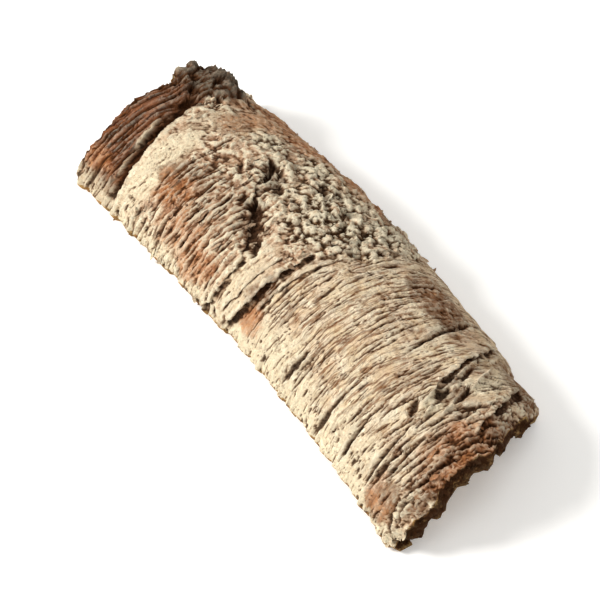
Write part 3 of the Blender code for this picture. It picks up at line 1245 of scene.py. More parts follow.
    def build(self, name: str, materials: Sequence[bpy.types.Material]) -> bpy.types.Object:
        """Makes the slab's mesh, its masks and its map.

        Args:
            name: The object's name.
            materials: The weathered bark and the raw cork.

        Returns:
            The slab.
        """
        rings, layout = self.grid.rings, self.layout
        share_along = np.linspace(0.0, 1.0, rings + 1)[:, None]
        outer = self.outer_points(share_along)
        inner = self.inner_points(share_along)
        right = self.edge_points(share_along, outer.points[:, -1], inner.points[:, -1], 1.0)
        left = self.edge_points(share_along, outer.points[:, 0], inner.points[:, 0], -1.0)[:, ::-1]
        loop = np.concatenate([outer.points, right, inner.points[:, ::-1], left], axis=1)
        masks = {mask: self.ring_masks(mask, outer.relief, inner.relief) for mask in Mask}
        edge_u = right[..., 0] + self.sizes.length / 2
        edge_v = np.broadcast_to(np.arange(1, self.grid.edge + 1) * layout.edge_step, edge_u.shape)
        ring_u = [outer.along, edge_u, inner.along[:, ::-1], edge_u]
        ring_v = [outer.across, layout.right_edge + edge_v]
        ring_v += [layout.hollow + inner.across[:, ::-1], layout.left_edge + edge_v]

        parts = MeshParts()
        index = parts.add_points(loop, masks, np.concatenate(ring_u, axis=1), np.concatenate(ring_v, axis=1))
        following = np.roll(index, -1, axis=1)
        quads = np.stack([index[:-1], following[:-1], following[1:], index[1:]], axis=-1)
        is_outer = np.tile(np.arange(loop.shape[1]) < self.grid.outer, rings)
        parts.add_faces(quads.reshape(-1, 4).tolist(), np.where(is_outer, 0, 1).tolist())
        for ring, way, salt in ((0, -1.0, 211), (rings, 1.0, 307)):
            cap = self.end_cap(outer.points[ring], inner.points[ring], way, salt)
            rows = parts.add_points(cap.points, cap.masks, cap.through + layout.ends, cap.round_way)
            faces = self.cap_faces(index[ring], rows)
            parts.add_faces(faces, [1] * len(faces))
        return parts.make(name, materials, self.shift)

    def ring_masks(self, mask: Mask, outer: Relief, inner: Relief) -> Array:
        """One mask over every ring: the two faces' own, and the long edges between them.

        Args:
            mask: Which mask.
            outer: The outer face's relief.
            inner: The hollow's relief.

        Returns:
            The mask, ring by ring.
        """
        rings = outer.rise.shape[0]
        steps = np.arange(self.grid.edge)[None, :]
        x = np.arange(rings)[:, None] * 0.4
        noise = self.cork.noise
        edge = np.zeros((rings, self.grid.edge))
        if mask is Mask.DEEP:
            edge = unit(noise.layered(x / 2, steps * 0.8, 3, 401))
        elif mask is Mask.BROWN:
            edge = 0.5 + 0.4 * noise.layered(x / 9, steps * 0.5, 3, 409)
        elif mask is Mask.CRUST_AND_SHADE:
            edge = unit(0.2 + 0.6 * noise.layered(x / 6, steps * 0.5, 3, 419))
        elif mask is Mask.CRUMBLY:
            edge = edge + 0.3
        return np.concatenate([outer.masks[mask], edge, inner.masks[mask][:, ::-1], edge], axis=1)

    def end_cap(self, outer: Array, inner: Array, way: float, salt: int) -> EndCap:
        """Shapes a broken end.

        Args:
            outer: The last ring's points on the outer face.
            inner: The last ring's points on the hollow's face.
            way: 1 where the end faces +X, -1 where it faces -X.
            salt: Tells one end from the other.

        Returns:
            The end's own rows of points.
        """
        count = self.grid.outer + 1
        at = np.linspace(0.0, self.grid.inner, count)
        knots = np.arange(self.grid.inner + 1)
        matched = np.stack([np.interp(at, knots, inner[:, axis]) for axis in range(3)], axis=1)
        share = (np.arange(1, self.grid.edge + 1) / (self.grid.edge + 1))[:, None, None]
        points = outer[None] + (matched - outer)[None] * share
        half = self.layout.right_edge
        round_way = np.broadcast_to(np.linspace(-half, half, count)[None, :], points.shape[:2])
        through = self.sizes.wall * np.broadcast_to(share[..., 0], points.shape[:2])
        out, deep = self.cork.broken(round_way, through, salt)
        inward = 4.0 * share[..., 0] * (1.0 - share[..., 0])
        points[..., 0] += way * out * inward
        points[..., 2] = np.maximum(points[..., 2], 0.0)
        masks = {mask: np.zeros(points.shape[:2]) for mask in Mask}
        masks[Mask.DEEP] = deep
        # the near end is made darker and redder than the far end
        darkening = 1.0 if way > 0 else 0.7
        mottle = self.cork.noise.layered(round_way / 7, through / 4, 3, salt + 5)
        masks[Mask.WORN_AND_LIT] = unit(0.2 * out)
        masks[Mask.RUST] = unit(darkening * (0.7 + 0.8 * mottle))
        masks[Mask.CRUST_AND_SHADE] = unit(darkening * (0.95 - 0.2 * share[..., 0]) + 0.5 * mottle)
        masks[Mask.BROWN] = unit(0.6 * darkening + 0.4 * mottle)
        masks[Mask.CRUMBLY] = np.ones(points.shape[:2])
        return EndCap(points, masks, through, round_way)

    def cap_faces(self, ring: Array, rows: Array) -> list[list[int]]:
        """Faces of a broken end.

        Args:
            ring: The last ring's point numbers.
            rows: The end's own point numbers, row by row from the outer face in.

        Returns:
            The faces' point numbers.
        """
        grid = self.grid
        outer = ring[: grid.outer + 1]
        right = ring[grid.outer + 1 : grid.outer + 1 + grid.edge]
        inner = ring[grid.outer + 1 + grid.edge : grid.outer + 2 + grid.edge + grid.inner][::-1]
        left = ring[-grid.edge :][::-1]
        ladder = [outer, *rows]
        faces = []
        for upper, lower in zip(ladder, ladder[1:]):
            for i in range(grid.outer):
                faces.append([upper[i], upper[i + 1], lower[i + 1], lower[i]])
        last = rows[-1]
        for i in range(grid.inner):
            faces.append([*last[grid.ratio * i : grid.ratio * (i + 1) + 1], inner[i + 1], inner[i]])
        for column, edge in ((0, left), (grid.outer, right)):
            faces.append([outer[column], rows[0][column], edge[0]])
            for j in range(grid.edge - 1):
                faces.append([rows[j][column], rows[j + 1][column], edge[j + 1], edge[j]])
            faces.append([rows[-1][column], inner[0 if column == 0 else -1], edge[-1]])
        return [[int(point) for point in face] for face in faces]


def linear(red: int, green: int, blue: int) -> Colour:
    """A screen colour as the linear colour that shaders take.

    Args:
        red: Red, from 0 to 255.
        green: Green.
        blue: Blue.

    Returns:
        The linear colour.
    """

    def channel(value: int) -> float:
        """One channel."""
        share = value / 255
        return share / 12.92 if share <= 0.04045 else ((share + 0.055) / 1.055) ** 2.4

    return (channel(red), channel(green), channel(blue))


class Wiring:
    """Adds nodes to a node tree and joins them."""

    def __init__(self, tree: Tree) -> None:
        """Keeps the tree."""
        self.tree = tree

    def feed(self, socket: Socket, value: Any) -> None:
        """Joins a socket to another, or sets its own value.

        Args:
            socket: The socket that is fed.
            value: Another socket, or a value.
        """
        if isinstance(value, Socket):
            self.tree.links.new(value, socket)
        elif isinstance(value, tuple) and len(value) == 3 and socket.type == "RGBA":
            socket.default_value = (*value, 1.0)
        else:
            socket.default_value = value

    def add(self, kind: str, inputs: dict[str | int, Any] | None = None, **settings: Any) -> bpy.types.Node:
        """Adds one node.

        Args:
            kind: The node's type name.
            inputs: Values or sockets for its inputs, by name or number.
            settings: Its own settings.

        Returns:
            The node.
        """
        node = self.tree.nodes.new(kind)
        for key, value in settings.items():
            setattr(node, key, value)
        for key, value in (inputs or {}).items():
            self.feed(node.inputs[key], value)
        return node

    def out(self, kind: str, inputs: dict[str | int, Any] | None = None, **settings: Any) -> Socket:
        """Adds one node and gives its first output."""
        return self.add(kind, inputs, **settings).outputs[0]

    def maths(self, operation: str, first: Any, second: Any = 0.0, clamp: bool = False) -> Socket:
        """What an operation makes of two numbers."""
        return self.out("ShaderNodeMath", {0: first, 1: second}, operation=operation, use_clamp=clamp)

    def times(self, *values: Any) -> Socket:
        """The product of several numbers.

        Args:
            values: Sockets or numbers.

        Returns:
            The product.
        """
        product = values[0]
        for value in values[1:]:
            product = self.maths("MULTIPLY", product, value)
        return product

    def vectors(self, operation: str, first: Any, second: Any) -> Socket:
        """What an operation makes of two vectors."""
        return self.out("ShaderNodeVectorMath", {0: first, 1: second}, operation=operation)

    def scaled(self, vector: Any, scale: Any) -> Socket:
        """A vector made longer or shorter."""
        return self.out("ShaderNodeVectorMath", {0: vector, "Scale": scale}, operation="SCALE")

    def ranged(self, value: Any, low: float, high: float, start: float, end: float) -> Socket:
        """A number brought from low..high to start..end, and kept there."""
        return self.out("ShaderNodeMapRange", {0: value, 1: low, 2: high, 3: start, 4: end}, clamp=True)

    def rise(self, value: Any, low: float, high: float, top: float = 1.0) -> Socket:
        """A number brought from low..high to 0..top, and kept there."""
        return self.ranged(value, low, high, 0.0, top)

    def fade(self, value: Any, low: float, high: float, end: float = 0.0) -> Socket:
        """A number brought from low..high to 1..end, and kept there."""
        return self.ranged(value, low, high, 1.0, end)

    def mix(self, share: Any, first: Any, second: Any, blend: str = "MIX") -> Socket:
        """Two colours mixed."""
        node = self.add("ShaderNodeMix", {0: share, 6: first, 7: second}, data_type="RGBA", blend_type=blend)
        return node.outputs[2]

    def coats(self, colour: Any, *coats: tuple[Any, Any]) -> Socket:
        """Lays colours over a first one.

        Args:
            colour: The first colour.
            coats: How much of each further colour shows, and the colour.

        Returns:
            The colour that shows.
        """
        for share, over in coats:
            colour = self.mix(share, colour, over)
        return colour

    def noise(self, vector: Any, scale: Any, detail: float = 4.0, roughness: float = 0.6) -> Socket:
        """Layered noise."""
        inputs = {"Vector": vector, "Scale": scale, "Detail": detail, "Roughness": roughness}
        return self.add("ShaderNodeTexNoise", inputs).outputs["Fac"]

    def group(self, tree: Tree, inputs: dict[str, Any]) -> Outputs:
        """Places a shared effect and gives its outputs."""
        return self.add("ShaderNodeGroup", inputs, node_tree=tree).outputs

    def bump(self, height: Any, distance: float, normal: Any = None) -> Socket:
        """The normal of a fine relief whose height of 1 is that distance, in millimetres."""
        inputs = {"Height": height, "Distance": distance * MM, "Strength": 1.0}
        return self.out("ShaderNodeBump", inputs if normal is None else inputs | {"Normal": normal})

    def frayed(self, mask: Any, fray: Any, amount: float = 1.4) -> Socket:
        """A mask whose soft outline is broken up by noise."""
        uneven = self.maths("ADD", mask, self.times(self.maths("SUBTRACT", fray, 0.5), amount))
        return self.times(self.rise(uneven, 0.25, 0.75), self.rise(mask, 0.0, 0.2))

    def mask(self, mask: Mask) -> Socket:
        """One of the masks stored on the mesh."""
        return self.add("ShaderNodeAttribute", attribute_name=mask.value).outputs["Fac"]


def new_group(
    name: str, kind: str, inputs: Sequence[SocketSpec], outputs: Sequence[SocketSpec]
) -> tuple[Wiring, Outputs]:
    """Starts a node group.

    Args:
        name: The group's name.
        kind: The tree's type name.
        inputs: Its inputs.
        outputs: Its outputs.

    Returns:
        The group's wiring, and what its inputs give.
    """
    tree = bpy.data.node_groups.new(name, kind)
    for way, specs in (("INPUT", inputs), ("OUTPUT", outputs)):
        for label, short_type, default in specs:
            socket = tree.interface.new_socket(label, in_out=way, socket_type="NodeSocket" + short_type)
            if default is not None:
                socket.default_value = (*default, 1.0) if short_type == "Color" else default
    wiring = Wiring(tree)
    return wiring, wiring.add("NodeGroupInput").outputs


class Effects:
    """The effects that the bark's finishes share, each built once as a node group."""

    def __init__(self) -> None:
        """Builds the groups."""
        self.grain = self.make_grain()
        self.ageing_and_shade = self.make_ageing_and_shade()
        self.growth = self.make_growth()

    def make_grain(self) -> Tree:
        """Fine grain: a height, a slow drift of tone, a fine mottle, dark specks and hairline cracks.

        Returns:
            The effect's tree.
        """
        inputs = [("Vector", "Vector", None), ("Size", "Float", 1.0), ("Specks", "Float", 0.5)]
        labels = ("Height", "Tone", "Mottle", "Speck", "Crack")
        outputs = [(label, "Float", None) for label in labels]
        wiring, given = new_group("cork_grain", "ShaderNodeTree", inputs, outputs)
        place = given["Vector"]
        per_size = wiring.maths("DIVIDE", 1.0 / MM, given["Size"])
        fine = wiring.noise(place, wiring.times(per_size, 1.5), 4.0, 0.75)
        mottle = wiring.noise(place, wiring.times(per_size, 0.75), 5.0, 0.7)
        coarse = wiring.noise(place, wiring.times(per_size, 0.22), 5.0, 0.6)
        warp = wiring.add("ShaderNodeTexNoise", {"Vector": place, "Scale": wiring.times(per_size, 0.5)})
        bent = wiring.scaled(wiring.vectors("SUBTRACT", warp.outputs["Color"], (0.5, 0.5, 0.5)), 0.0016)
        bent = wiring.vectors("ADD", place, bent)
        voronoi = {"Vector": bent, "Scale": wiring.times(per_size, 0.85)}
        dots = wiring.add("ShaderNodeTexVoronoi", voronoi).outputs["Distance"]
        voronoi = {"Vector": bent, "Scale": wiring.times(per_size, 0.5)}
        edges = wiring.add("ShaderNodeTexVoronoi", voronoi, feature="DISTANCE_TO_EDGE").outputs["Distance"]
        speck = wiring.times(wiring.fade(dots, 0.08, 0.34), wiring.rise(coarse, 0.44, 0.62), given["Specks"])
        crack = wiring.times(wiring.fade(edges, 0.0, 0.09), wiring.rise(mottle, 0.45, 0.62))
        height = wiring.maths("ADD", wiring.times(fine, 0.8), mottle)
        height = wiring.maths("SUBTRACT", height, wiring.times(speck, 0.5))
        height = wiring.maths("SUBTRACT", height, wiring.times(crack, 0.35))
        outputs = {"Height": height, "Tone": coarse, "Mottle": mottle, "Speck": speck, "Crack": crack}
        wiring.add("NodeGroupOutput", outputs)
        return wiring.tree

    def make_ageing_and_shade(self) -> Tree:
        """Ageing and painted shade: dirt and painted shade in the hollows, and ridges paled by wear and painted
        highlight.

        Returns:
            The effect's tree.
        """
        inputs = [
            ("Colour", "Color", (0.5, 0.5, 0.5)),
            ("Soil_and_shade", "Color", (0.2, 0.12, 0.07)),
            ("Dark", "Color", (0.05, 0.03, 0.02)),
            ("Pale", "Color", (0.8, 0.7, 0.5)),
            ("Deep", "Float", 0.0),
            ("Wear_and_highlight", "Float", 0.0),
            ("Fray", "Float", 0.5),
        ]
        outputs = [("Colour", "Color", None), ("Shade", "Float", None)]
        wiring, given = new_group("ageing_and_shade", "ShaderNodeTree", inputs, outputs)
        # dirt and painted shade in the hollows, painted shade darkest in the deepest; ridges paler from wear
        # and painted highlight
        uneven = wiring.times(wiring.maths("SUBTRACT", given["Fray"], 0.5), 0.7)
        frayed = wiring.maths("ADD", given["Deep"], uneven)
        soiled_and_shaded = wiring.rise(frayed, 0.2, 0.68, 0.85)
        shade = wiring.rise(frayed, 0.58, 1.08, 0.94)
        worn = wiring.times(given["Wear_and_highlight"], wiring.rise(given["Fray"], 0.35, 0.6), 0.65)
        colour = wiring.mix(worn, given["Colour"], given["Pale"])
        colour = wiring.mix(soiled_and_shaded, colour, wiring.mix(0.6, colour, given["Soil_and_shade"], "MULTIPLY"))
        colour = wiring.mix(wiring.times(soiled_and_shaded, 0.45), colour, given["Soil_and_shade"])
        colour = wiring.mix(shade, colour, given["Dark"])
        wiring.add("NodeGroupOutput", {"Colour": colour, "Shade": shade})
        return wiring.tree

    def make_growth(self) -> Tree:
        """Growth lines: fine lines round the branch, read from the bark's own map.

        Returns:
            The effect's tree.
        """
        inputs = [("Map", "Vector", None), ("Spacing", "Float", 1.0), ("Length", "Float", 12.0)]
        outputs = [("Height", "Float", None), ("Line", "Float", None)]
        wiring, given = new_group("growth_lines", "ShaderNodeTree", inputs, outputs)
        split = wiring.add("ShaderNodeSeparateXYZ", {0: given["Map"]}).outputs
        wander = wiring.noise(wiring.vectors("MULTIPLY", given["Map"], (5.0, 7.0, 1.0)), 1.0, 3.0, 0.5)
        shifted = wiring.maths("ADD", split[0], wiring.times(wander, 0.045))
        slanted = wiring.maths("SUBTRACT", shifted, wiring.times(split[1], 0.1))
        along = wiring.maths("DIVIDE", wiring.times(slanted, UV_UNIT), given["Spacing"])
        across = wiring.maths("DIVIDE", wiring.times(split[1], UV_UNIT), given["Length"])
        place = wiring.out("ShaderNodeCombineXYZ", {0: along, 1: across, 2: 0.0})
        height = wiring.noise(place, 1.0, 3.0, 0.6)
        from_middle = wiring.maths("SUBTRACT", wiring.noise(place, 0.55, 2.0, 0.5), 0.5)
        from_middle = wiring.maths("ABSOLUTE", from_middle)
        line = wiring.times(wiring.fade(from_middle, 0.0, 0.05), wiring.rise(wander, 0.33, 0.56))
        wiring.add("NodeGroupOutput", {"Height": height, "Line": line})
        return wiring.tree


@dataclass(frozen=True)
class Finish:
    """A bark finish: its colours and how its surface catches the light."""

    effects: Effects
    soil_and_shade: Colour  # dirt and painted shade in the hollows
    dark: Colour  # painted shade in the deepest hollows; also hairline cracks and specks
    worn: Colour  # paler ridges: wear and painted highlight
    specular: float = 0.02

    def start(self, name: str) -> tuple[bpy.types.Material, Wiring, bpy.types.Node]:
        """Starts a material.

        Args:
            name: Its name.

        Returns:
            The material, its wiring and its shader.
        """
        material = bpy.data.materials.new(name)
        material.use_nodes = True
        wiring = Wiring(material.node_tree)
        return material, wiring, material.node_tree.nodes["Principled BSDF"]

    def dress(self, wiring: Wiring, shader: bpy.types.Node, ageing_and_shade: dict[str, Any]) -> None:
        """Ages the colour and paints shade and highlight into it, and sets the shader's colour, roughness and
        specular.

        Args:
            wiring: The material's wiring.
            shader: Its shader.
            ageing_and_shade: The inputs of the ageing effect, which also paints shade, apart from this finish's
                own colours.
        """
        ageing_and_shade = ageing_and_shade | {"Soil_and_shade": self.soil_and_shade, "Dark": self.dark, "Pale": self.worn}
        aged_and_shaded = wiring.group(self.effects.ageing_and_shade, ageing_and_shade)
        wiring.feed(shader.inputs["Base Color"], aged_and_shaded["Colour"])
        wiring.feed(shader.inputs["Roughness"], wiring.fade(aged_and_shaded["Shade"], 0.0, 1.0, 0.8))
        shader.inputs["Specular IOR Level"].default_value = self.specular


@dataclass(frozen=True)
class WeatheredBark(Finish):
    """The outer face: pale, dry, cracked bark with rust, brown, lichen and old crust."""

    pale: Colour = linear(255, 240, 210)
    beige: Colour = linear(238, 212, 172)
    cream: Colour = linear(248, 232, 198)
    pinkish: Colour = linear(218, 178, 146)
    tan: Colour = linear(152, 108, 74)
    rust: Colour = linear(176, 102, 58)
    orange: Colour = linear(222, 156, 102)
    brown: Colour = linear(118, 74, 42)
    band: Colour = linear(148, 92, 60)
    band_dark: Colour = linear(66, 34, 22)
    lichen: Colour = linear(250, 238, 208)
    # olive painted shade in the lichen's hollows
    lichen_hollow_shade: Colour = linear(112, 98, 68)
    plum: Colour = linear(132, 78, 50)
    char: Colour = linear(48, 25, 14)
    # dirt and painted shade in the hollows, the deepest painted shade, and ridges paled by wear and painted
    # highlight
    soil_and_shade: Colour = linear(124, 80, 46)
    dark: Colour = linear(38, 20, 10)
    worn: Colour = linear(255, 244, 218)

    def make(self) -> bpy.types.Material:
        """Builds the material.

        Returns:
            The material.
        """
        material, wiring, shader = self.start("weathered_bark")
        place = wiring.add("ShaderNodeTexCoord").outputs["Object"]
        own_map = wiring.out("ShaderNodeUVMap", uv_map=UV_MAP)
        grain = wiring.group(self.effects.grain, {"Vector": place, "Size": 1.0, "Specks": 0.8})
        growth = wiring.group(self.effects.growth, {"Map": own_map, "Spacing": 1.2, "Length": 9.0})
        masks = {mask: wiring.mask(mask) for mask in Mask if mask not in (Mask.FLAKY, Mask.CRUMBLY)}
        mottle = grain["Mottle"]
        rough = masks[Mask.ROUGH]
        plain = wiring.maths("SUBTRACT", 1.0, rough)
        blotches = wiring.noise(place, 120.0, 4.0, 0.55)
        flecks = wiring.noise(wiring.vectors("MULTIPLY", place, (1.0, 0.35, 0.35)), 900.0, 3.0, 0.6)
        # the scales' ridges are paler: wear and painted highlight
        heights = wiring.maths("ADD", wiring.times(masks[Mask.WORN_AND_LIT], 0.35), mottle)
        scaly = wiring.mix(wiring.rise(heights, 0.36, 0.56), self.tan, self.pinkish)
        scaly = wiring.mix(wiring.rise(heights, 0.56, 0.78), scaly, self.cream)
        band = wiring.mix(wiring.rise(growth["Height"], 0.4, 0.62), self.band_dark, self.band)
        unbleached = wiring.fade(masks[Mask.BLEACHED_AND_LIT], 0.0, 1.0, 0.25)
        browned = wiring.frayed(masks[Mask.BROWN], mottle)
        reddened = wiring.frayed(masks[Mask.RUST], mottle, 1.5)
        ruddy = wiring.mix(wiring.rise(mottle, 0.4, 0.6), self.rust, self.orange)
        streaks = wiring.fade(growth["Height"], 0.44, 0.64, 0.55)
        patchy = wiring.rise(wiring.noise(place, 330.0, 3.0, 0.6), 0.4, 0.56)
        # painted shade in the hollows, laid on the lichen
        hollow = wiring.rise(masks[Mask.DEEP], 0.15, 0.7)
        # old crust, with the troughs' painted shade
        crust_and_shade = wiring.frayed(masks[Mask.CRUST_AND_SHADE], mottle, 1.0)
        crust_and_shade_colour = wiring.mix(wiring.rise(mottle, 0.5, 0.64, 0.75), self.char, self.plum)
        hairlines = wiring.times(grain["Crack"], wiring.maths("ADD", rough, 0.12, clamp=True), 0.7)
        colour = wiring.coats(
            self.beige,
            # smooth bark
            (wiring.rise(grain["Tone"], 0.38, 0.62), self.pale),
            (wiring.rise(blotches, 0.42, 0.62, 0.4), self.pinkish),
            (wiring.rise(growth["Height"], 0.52, 0.62, 0.82), self.tan),
            (wiring.rise(flecks, 0.56, 0.66, 0.75), self.tan),
            (wiring.times(growth["Line"], plain, 0.9), self.brown),
            # old layers, pale places (sun-bleached, and painted light on the lit flank) and the bared band
            (wiring.times(rough, 0.8), scaly),
            (wiring.times(masks[Mask.BLEACHED_AND_LIT], wiring.rise(mottle, 0.3, 0.5)), self.cream),
            (wiring.times(masks[Mask.BAND], unbleached), band),
            # brown and reddish patches
            (wiring.times(browned, 0.75), self.brown),
            (wiring.times(reddened, streaks, 0.78), ruddy),
            # lichen, olive painted shade in its hollows, and old crust with the troughs' painted shade
            (wiring.times(masks[Mask.LICHEN], patchy, 0.85), self.lichen),
            (wiring.times(masks[Mask.LICHEN], hollow, 0.75), self.lichen_hollow_shade),
            (wiring.times(crust_and_shade, 0.9), crust_and_shade_colour),
            # fine dark specks, and hairline cracks in the old layers
            (wiring.times(grain["Speck"], 0.6), self.soil_and_shade),
            (hairlines, self.dark),
        )
        # ridges paled by wear and painted highlight, less on crust, band and rust
        worn = masks[Mask.WORN_AND_LIT]
        for mask, left in ((Mask.CRUST_AND_SHADE, 0.3), (Mask.BAND, 0.4), (Mask.RUST, 0.7)):
            worn = wiring.times(worn, wiring.fade(masks[mask], 0.0, 1.0, left))
        ageing_and_shade = {"Colour": colour, "Fray": mottle, "Deep": masks[Mask.DEEP], "Wear_and_highlight": worn}
        self.dress(wiring, shader, ageing_and_shade)
        ribs = wiring.bump(growth["Height"], 0.45)
        wiring.feed(shader.inputs["Normal"], wiring.bump(grain["Height"], 0.9, ribs))
        return material


@dataclass(frozen=True)
class RawCork(Finish):
    """Raw cork: granular golden tan with dark pits, browner where it has weathered."""

    gold: Colour = linear(206, 160, 96)
    tan: Colour = linear(222, 190, 134)
    orange: Colour = linear(186, 116, 62)
    brown: Colour = linear(122, 76, 44)
    rust: Colour = linear(120, 68, 44)
    char: Colour = linear(62, 37, 25)
    # dirt and painted shade in the hollows, the deepest painted shade, and ridges paled by wear and painted
    # highlight
    soil_and_shade: Colour = linear(96, 62, 36)
    dark: Colour = linear(44, 27, 16)
    worn: Colour = linear(234, 208, 158)

    def make(self) -> bpy.types.Material:
        """Builds the material.

        Returns:
            The material.
        """
        material, wiring, shader = self.start("raw_cork")
        place = wiring.add("ShaderNodeTexCoord").outputs["Object"]
        grain = wiring.group(self.effects.grain, {"Vector": place, "Size": 1.1, "Specks": 1.0})
        wanted = (Mask.DEEP, Mask.WORN_AND_LIT, Mask.RUST, Mask.BROWN, Mask.CRUST_AND_SHADE)
        masks = {mask: wiring.mask(mask) for mask in wanted}
        mottle = grain["Mottle"]
        granules = wiring.add("ShaderNodeTexVoronoi", {"Vector": place, "Scale": 900.0}).outputs["Color"]
        shades = wiring.out("ShaderNodeSeparateColor", {0: granules})
        colour = wiring.coats(
            self.gold,
            (wiring.rise(grain["Tone"], 0.36, 0.64), self.tan),
            (wiring.rise(shades, 0.5, 1.0, 0.5), self.orange),
            (wiring.times(masks[Mask.BROWN], 0.7), self.brown),
            (wiring.times(wiring.frayed(masks[Mask.RUST], mottle), 0.7), self.rust),
            (wiring.times(wiring.frayed(masks[Mask.CRUST_AND_SHADE], mottle), 0.92), self.char),
            (wiring.times(grain["Speck"], 0.8), self.dark),
        )
        ageing_and_shade = {"Colour": colour, "Fray": mottle, "Deep": masks[Mask.DEEP], "Wear_and_highlight": masks[Mask.WORN_AND_LIT]}
        self.dress(wiring, shader, ageing_and_shade)
        wiring.feed(shader.inputs["Normal"], wiring.bump(grain["Height"], 1.0))
        return material


@dataclass(frozen=True)
class Scatter:
    """Small pieces spread over the slab, more of them where a mask is stronger. Sizes are millimetres."""

    name: str
    where: Mask
    per_square_cm: float
    smallest: float
    largest: float
    sunk: float  # how deep a piece sits, as a share of its size
    ruffle: float  # how far its outline is broken up
    ruffle_size: float
    lean: tuple[float, float, float]  # how far it may turn about its own axes
    tipped: float  # the turn that all have, which lifts one long side
    seed: int
    dirt: Place  # the most that a piece's own masks for dirt and painted shade, and for wear and painted highlight, reach
    smooth: bool = False

    def piece(self, wiring: Wiring) -> Socket:
        """One piece, about one metre across before it is scaled."""
        raise NotImplementedError

    def random(self, wiring: Wiring, low: Any, high: Any, salt: int) -> Socket:
        """A number, or a vector, of its own for each piece.

        Args:
            wiring: The tree's wiring.
            low: The least that it can be.
            high: The most.
            salt: Tells one draw from another.

        Returns:
            The number or vector.
        """
        if isinstance(low, tuple):
            inputs = {0: low, 1: high, "Seed": self.seed + salt}
            return wiring.out("FunctionNodeRandomValue", inputs, data_type="FLOAT_VECTOR")
        return wiring.add("FunctionNodeRandomValue", {2: low, 3: high, "Seed": self.seed + salt}).outputs[1]

    def turn(self, wiring: Wiring, spread: Outputs) -> Socket:
        """How each piece lies: flat on the bark, long side round the branch, then leaning a little.

        Args:
            wiring: The tree's wiring.
            spread: What the node that spreads the points puts out.

        Returns:
            The turn of each piece.
        """
        round_way = wiring.vectors("CROSS_PRODUCT", spread["Normal"], (1.0, 0.0, 0.0))
        inputs = {"Rotation": spread["Rotation"], "Vector": round_way}
        laid = wiring.out("FunctionNodeAlignRotationToVector", inputs, axis="X", pivot_axis="Z")
        low = (self.tipped - self.lean[0], -self.lean[1], -self.lean[2])
        high = (self.tipped + self.lean[0], self.lean[1], self.lean[2])
        lean = {"Euler": self.random(wiring, low, high, 4)}
        lean = wiring.out("FunctionNodeEulerToRotation", lean)
        inputs = {"Rotation": laid, "Rotate By": lean}
        return wiring.out("FunctionNodeRotateRotation", inputs, rotation_space="LOCAL")

    def tree(self) -> Tree:
        """Builds the Geometry Nodes tree that spreads the pieces.

        Returns:
            The tree.
        """
        inputs = [("Bark", "Geometry", None), ("Material", "Material", None), ("Seed", "Int", 0)]
        inputs += [(label, "Float", 1.0) for label in ("Density", "Smallest", "Largest", "Ruffle")]
        wiring, given = new_group(self.name, "GeometryNodeTree", inputs, [("Pieces", "Geometry", None)])
        place = wiring.out("GeometryNodeInputNamedAttribute", {"Name": self.where.value})
        density = wiring.times(given["Density"], place, place)
        inputs = {"Mesh": given["Bark"], "Density": density, "Seed": given["Seed"]}
        spread = wiring.add("GeometryNodeDistributePointsOnFaces", inputs).outputs
        chance = self.random(wiring, 0.0, 1.0, 1)
        spare = wiring.maths("SUBTRACT", given["Largest"], given["Smallest"])
        size = wiring.maths("ADD", given["Smallest"], wiring.times(spare, chance, chance))
        sunk = wiring.scaled(spread["Normal"], wiring.times(size, -self.sunk))
        points = wiring.out("GeometryNodeSetPosition", {0: spread["Points"], "Offset": sunk})
        points = wiring.out("GeometryNodeRemoveAttribute", {0: points, "Name": UV_MAP})
        for mask, most, salt in ((Mask.DEEP, self.dirt[0], 2), (Mask.WORN_AND_LIT, self.dirt[1], 3)):
            inputs = {0: points, "Name": mask.value, "Value": self.random(wiring, 0.0, most, salt)}
            points = wiring.out("GeometryNodeStoreNamedAttribute", inputs)
        scale = wiring.scaled(self.random(wiring, (0.7, 0.7, 0.7), (1.4, 1.2, 1.2), 5), size)
        inputs = {"Points": points, "Instance": self.piece(wiring)}
        inputs |= {"Rotation": self.turn(wiring, spread), "Scale": scale}
        pieces = wiring.out("GeometryNodeInstanceOnPoints", inputs)
        pieces = wiring.out("GeometryNodeRealizeInstances", {0: pieces})
        here = wiring.out("GeometryNodeInputPosition")
        inputs = {"Vector": here, "Scale": 1.0 / (self.ruffle_size * MM), "Detail": 2.0}
        rough = wiring.add("ShaderNodeTexNoise", inputs).outputs["Color"]
        rough = wiring.scaled(wiring.vectors("SUBTRACT", rough, (0.5, 0.5, 0.5)), given["Ruffle"])
        moved = wiring.vectors("MAXIMUM", wiring.vectors("ADD", here, rough), (-1.0, -1.0, 0.0))
        pieces = wiring.out("GeometryNodeSetPosition", {0: pieces, "Position": moved})
        pieces = wiring.out("GeometryNodeSetShadeSmooth", {0: pieces, "Shade Smooth": self.smooth})
        pieces = wiring.out("GeometryNodeSetMaterial", {0: pieces, "Material": given["Material"]})
        wiring.add("NodeGroupOutput", {"Pieces": pieces})
        return wiring.tree

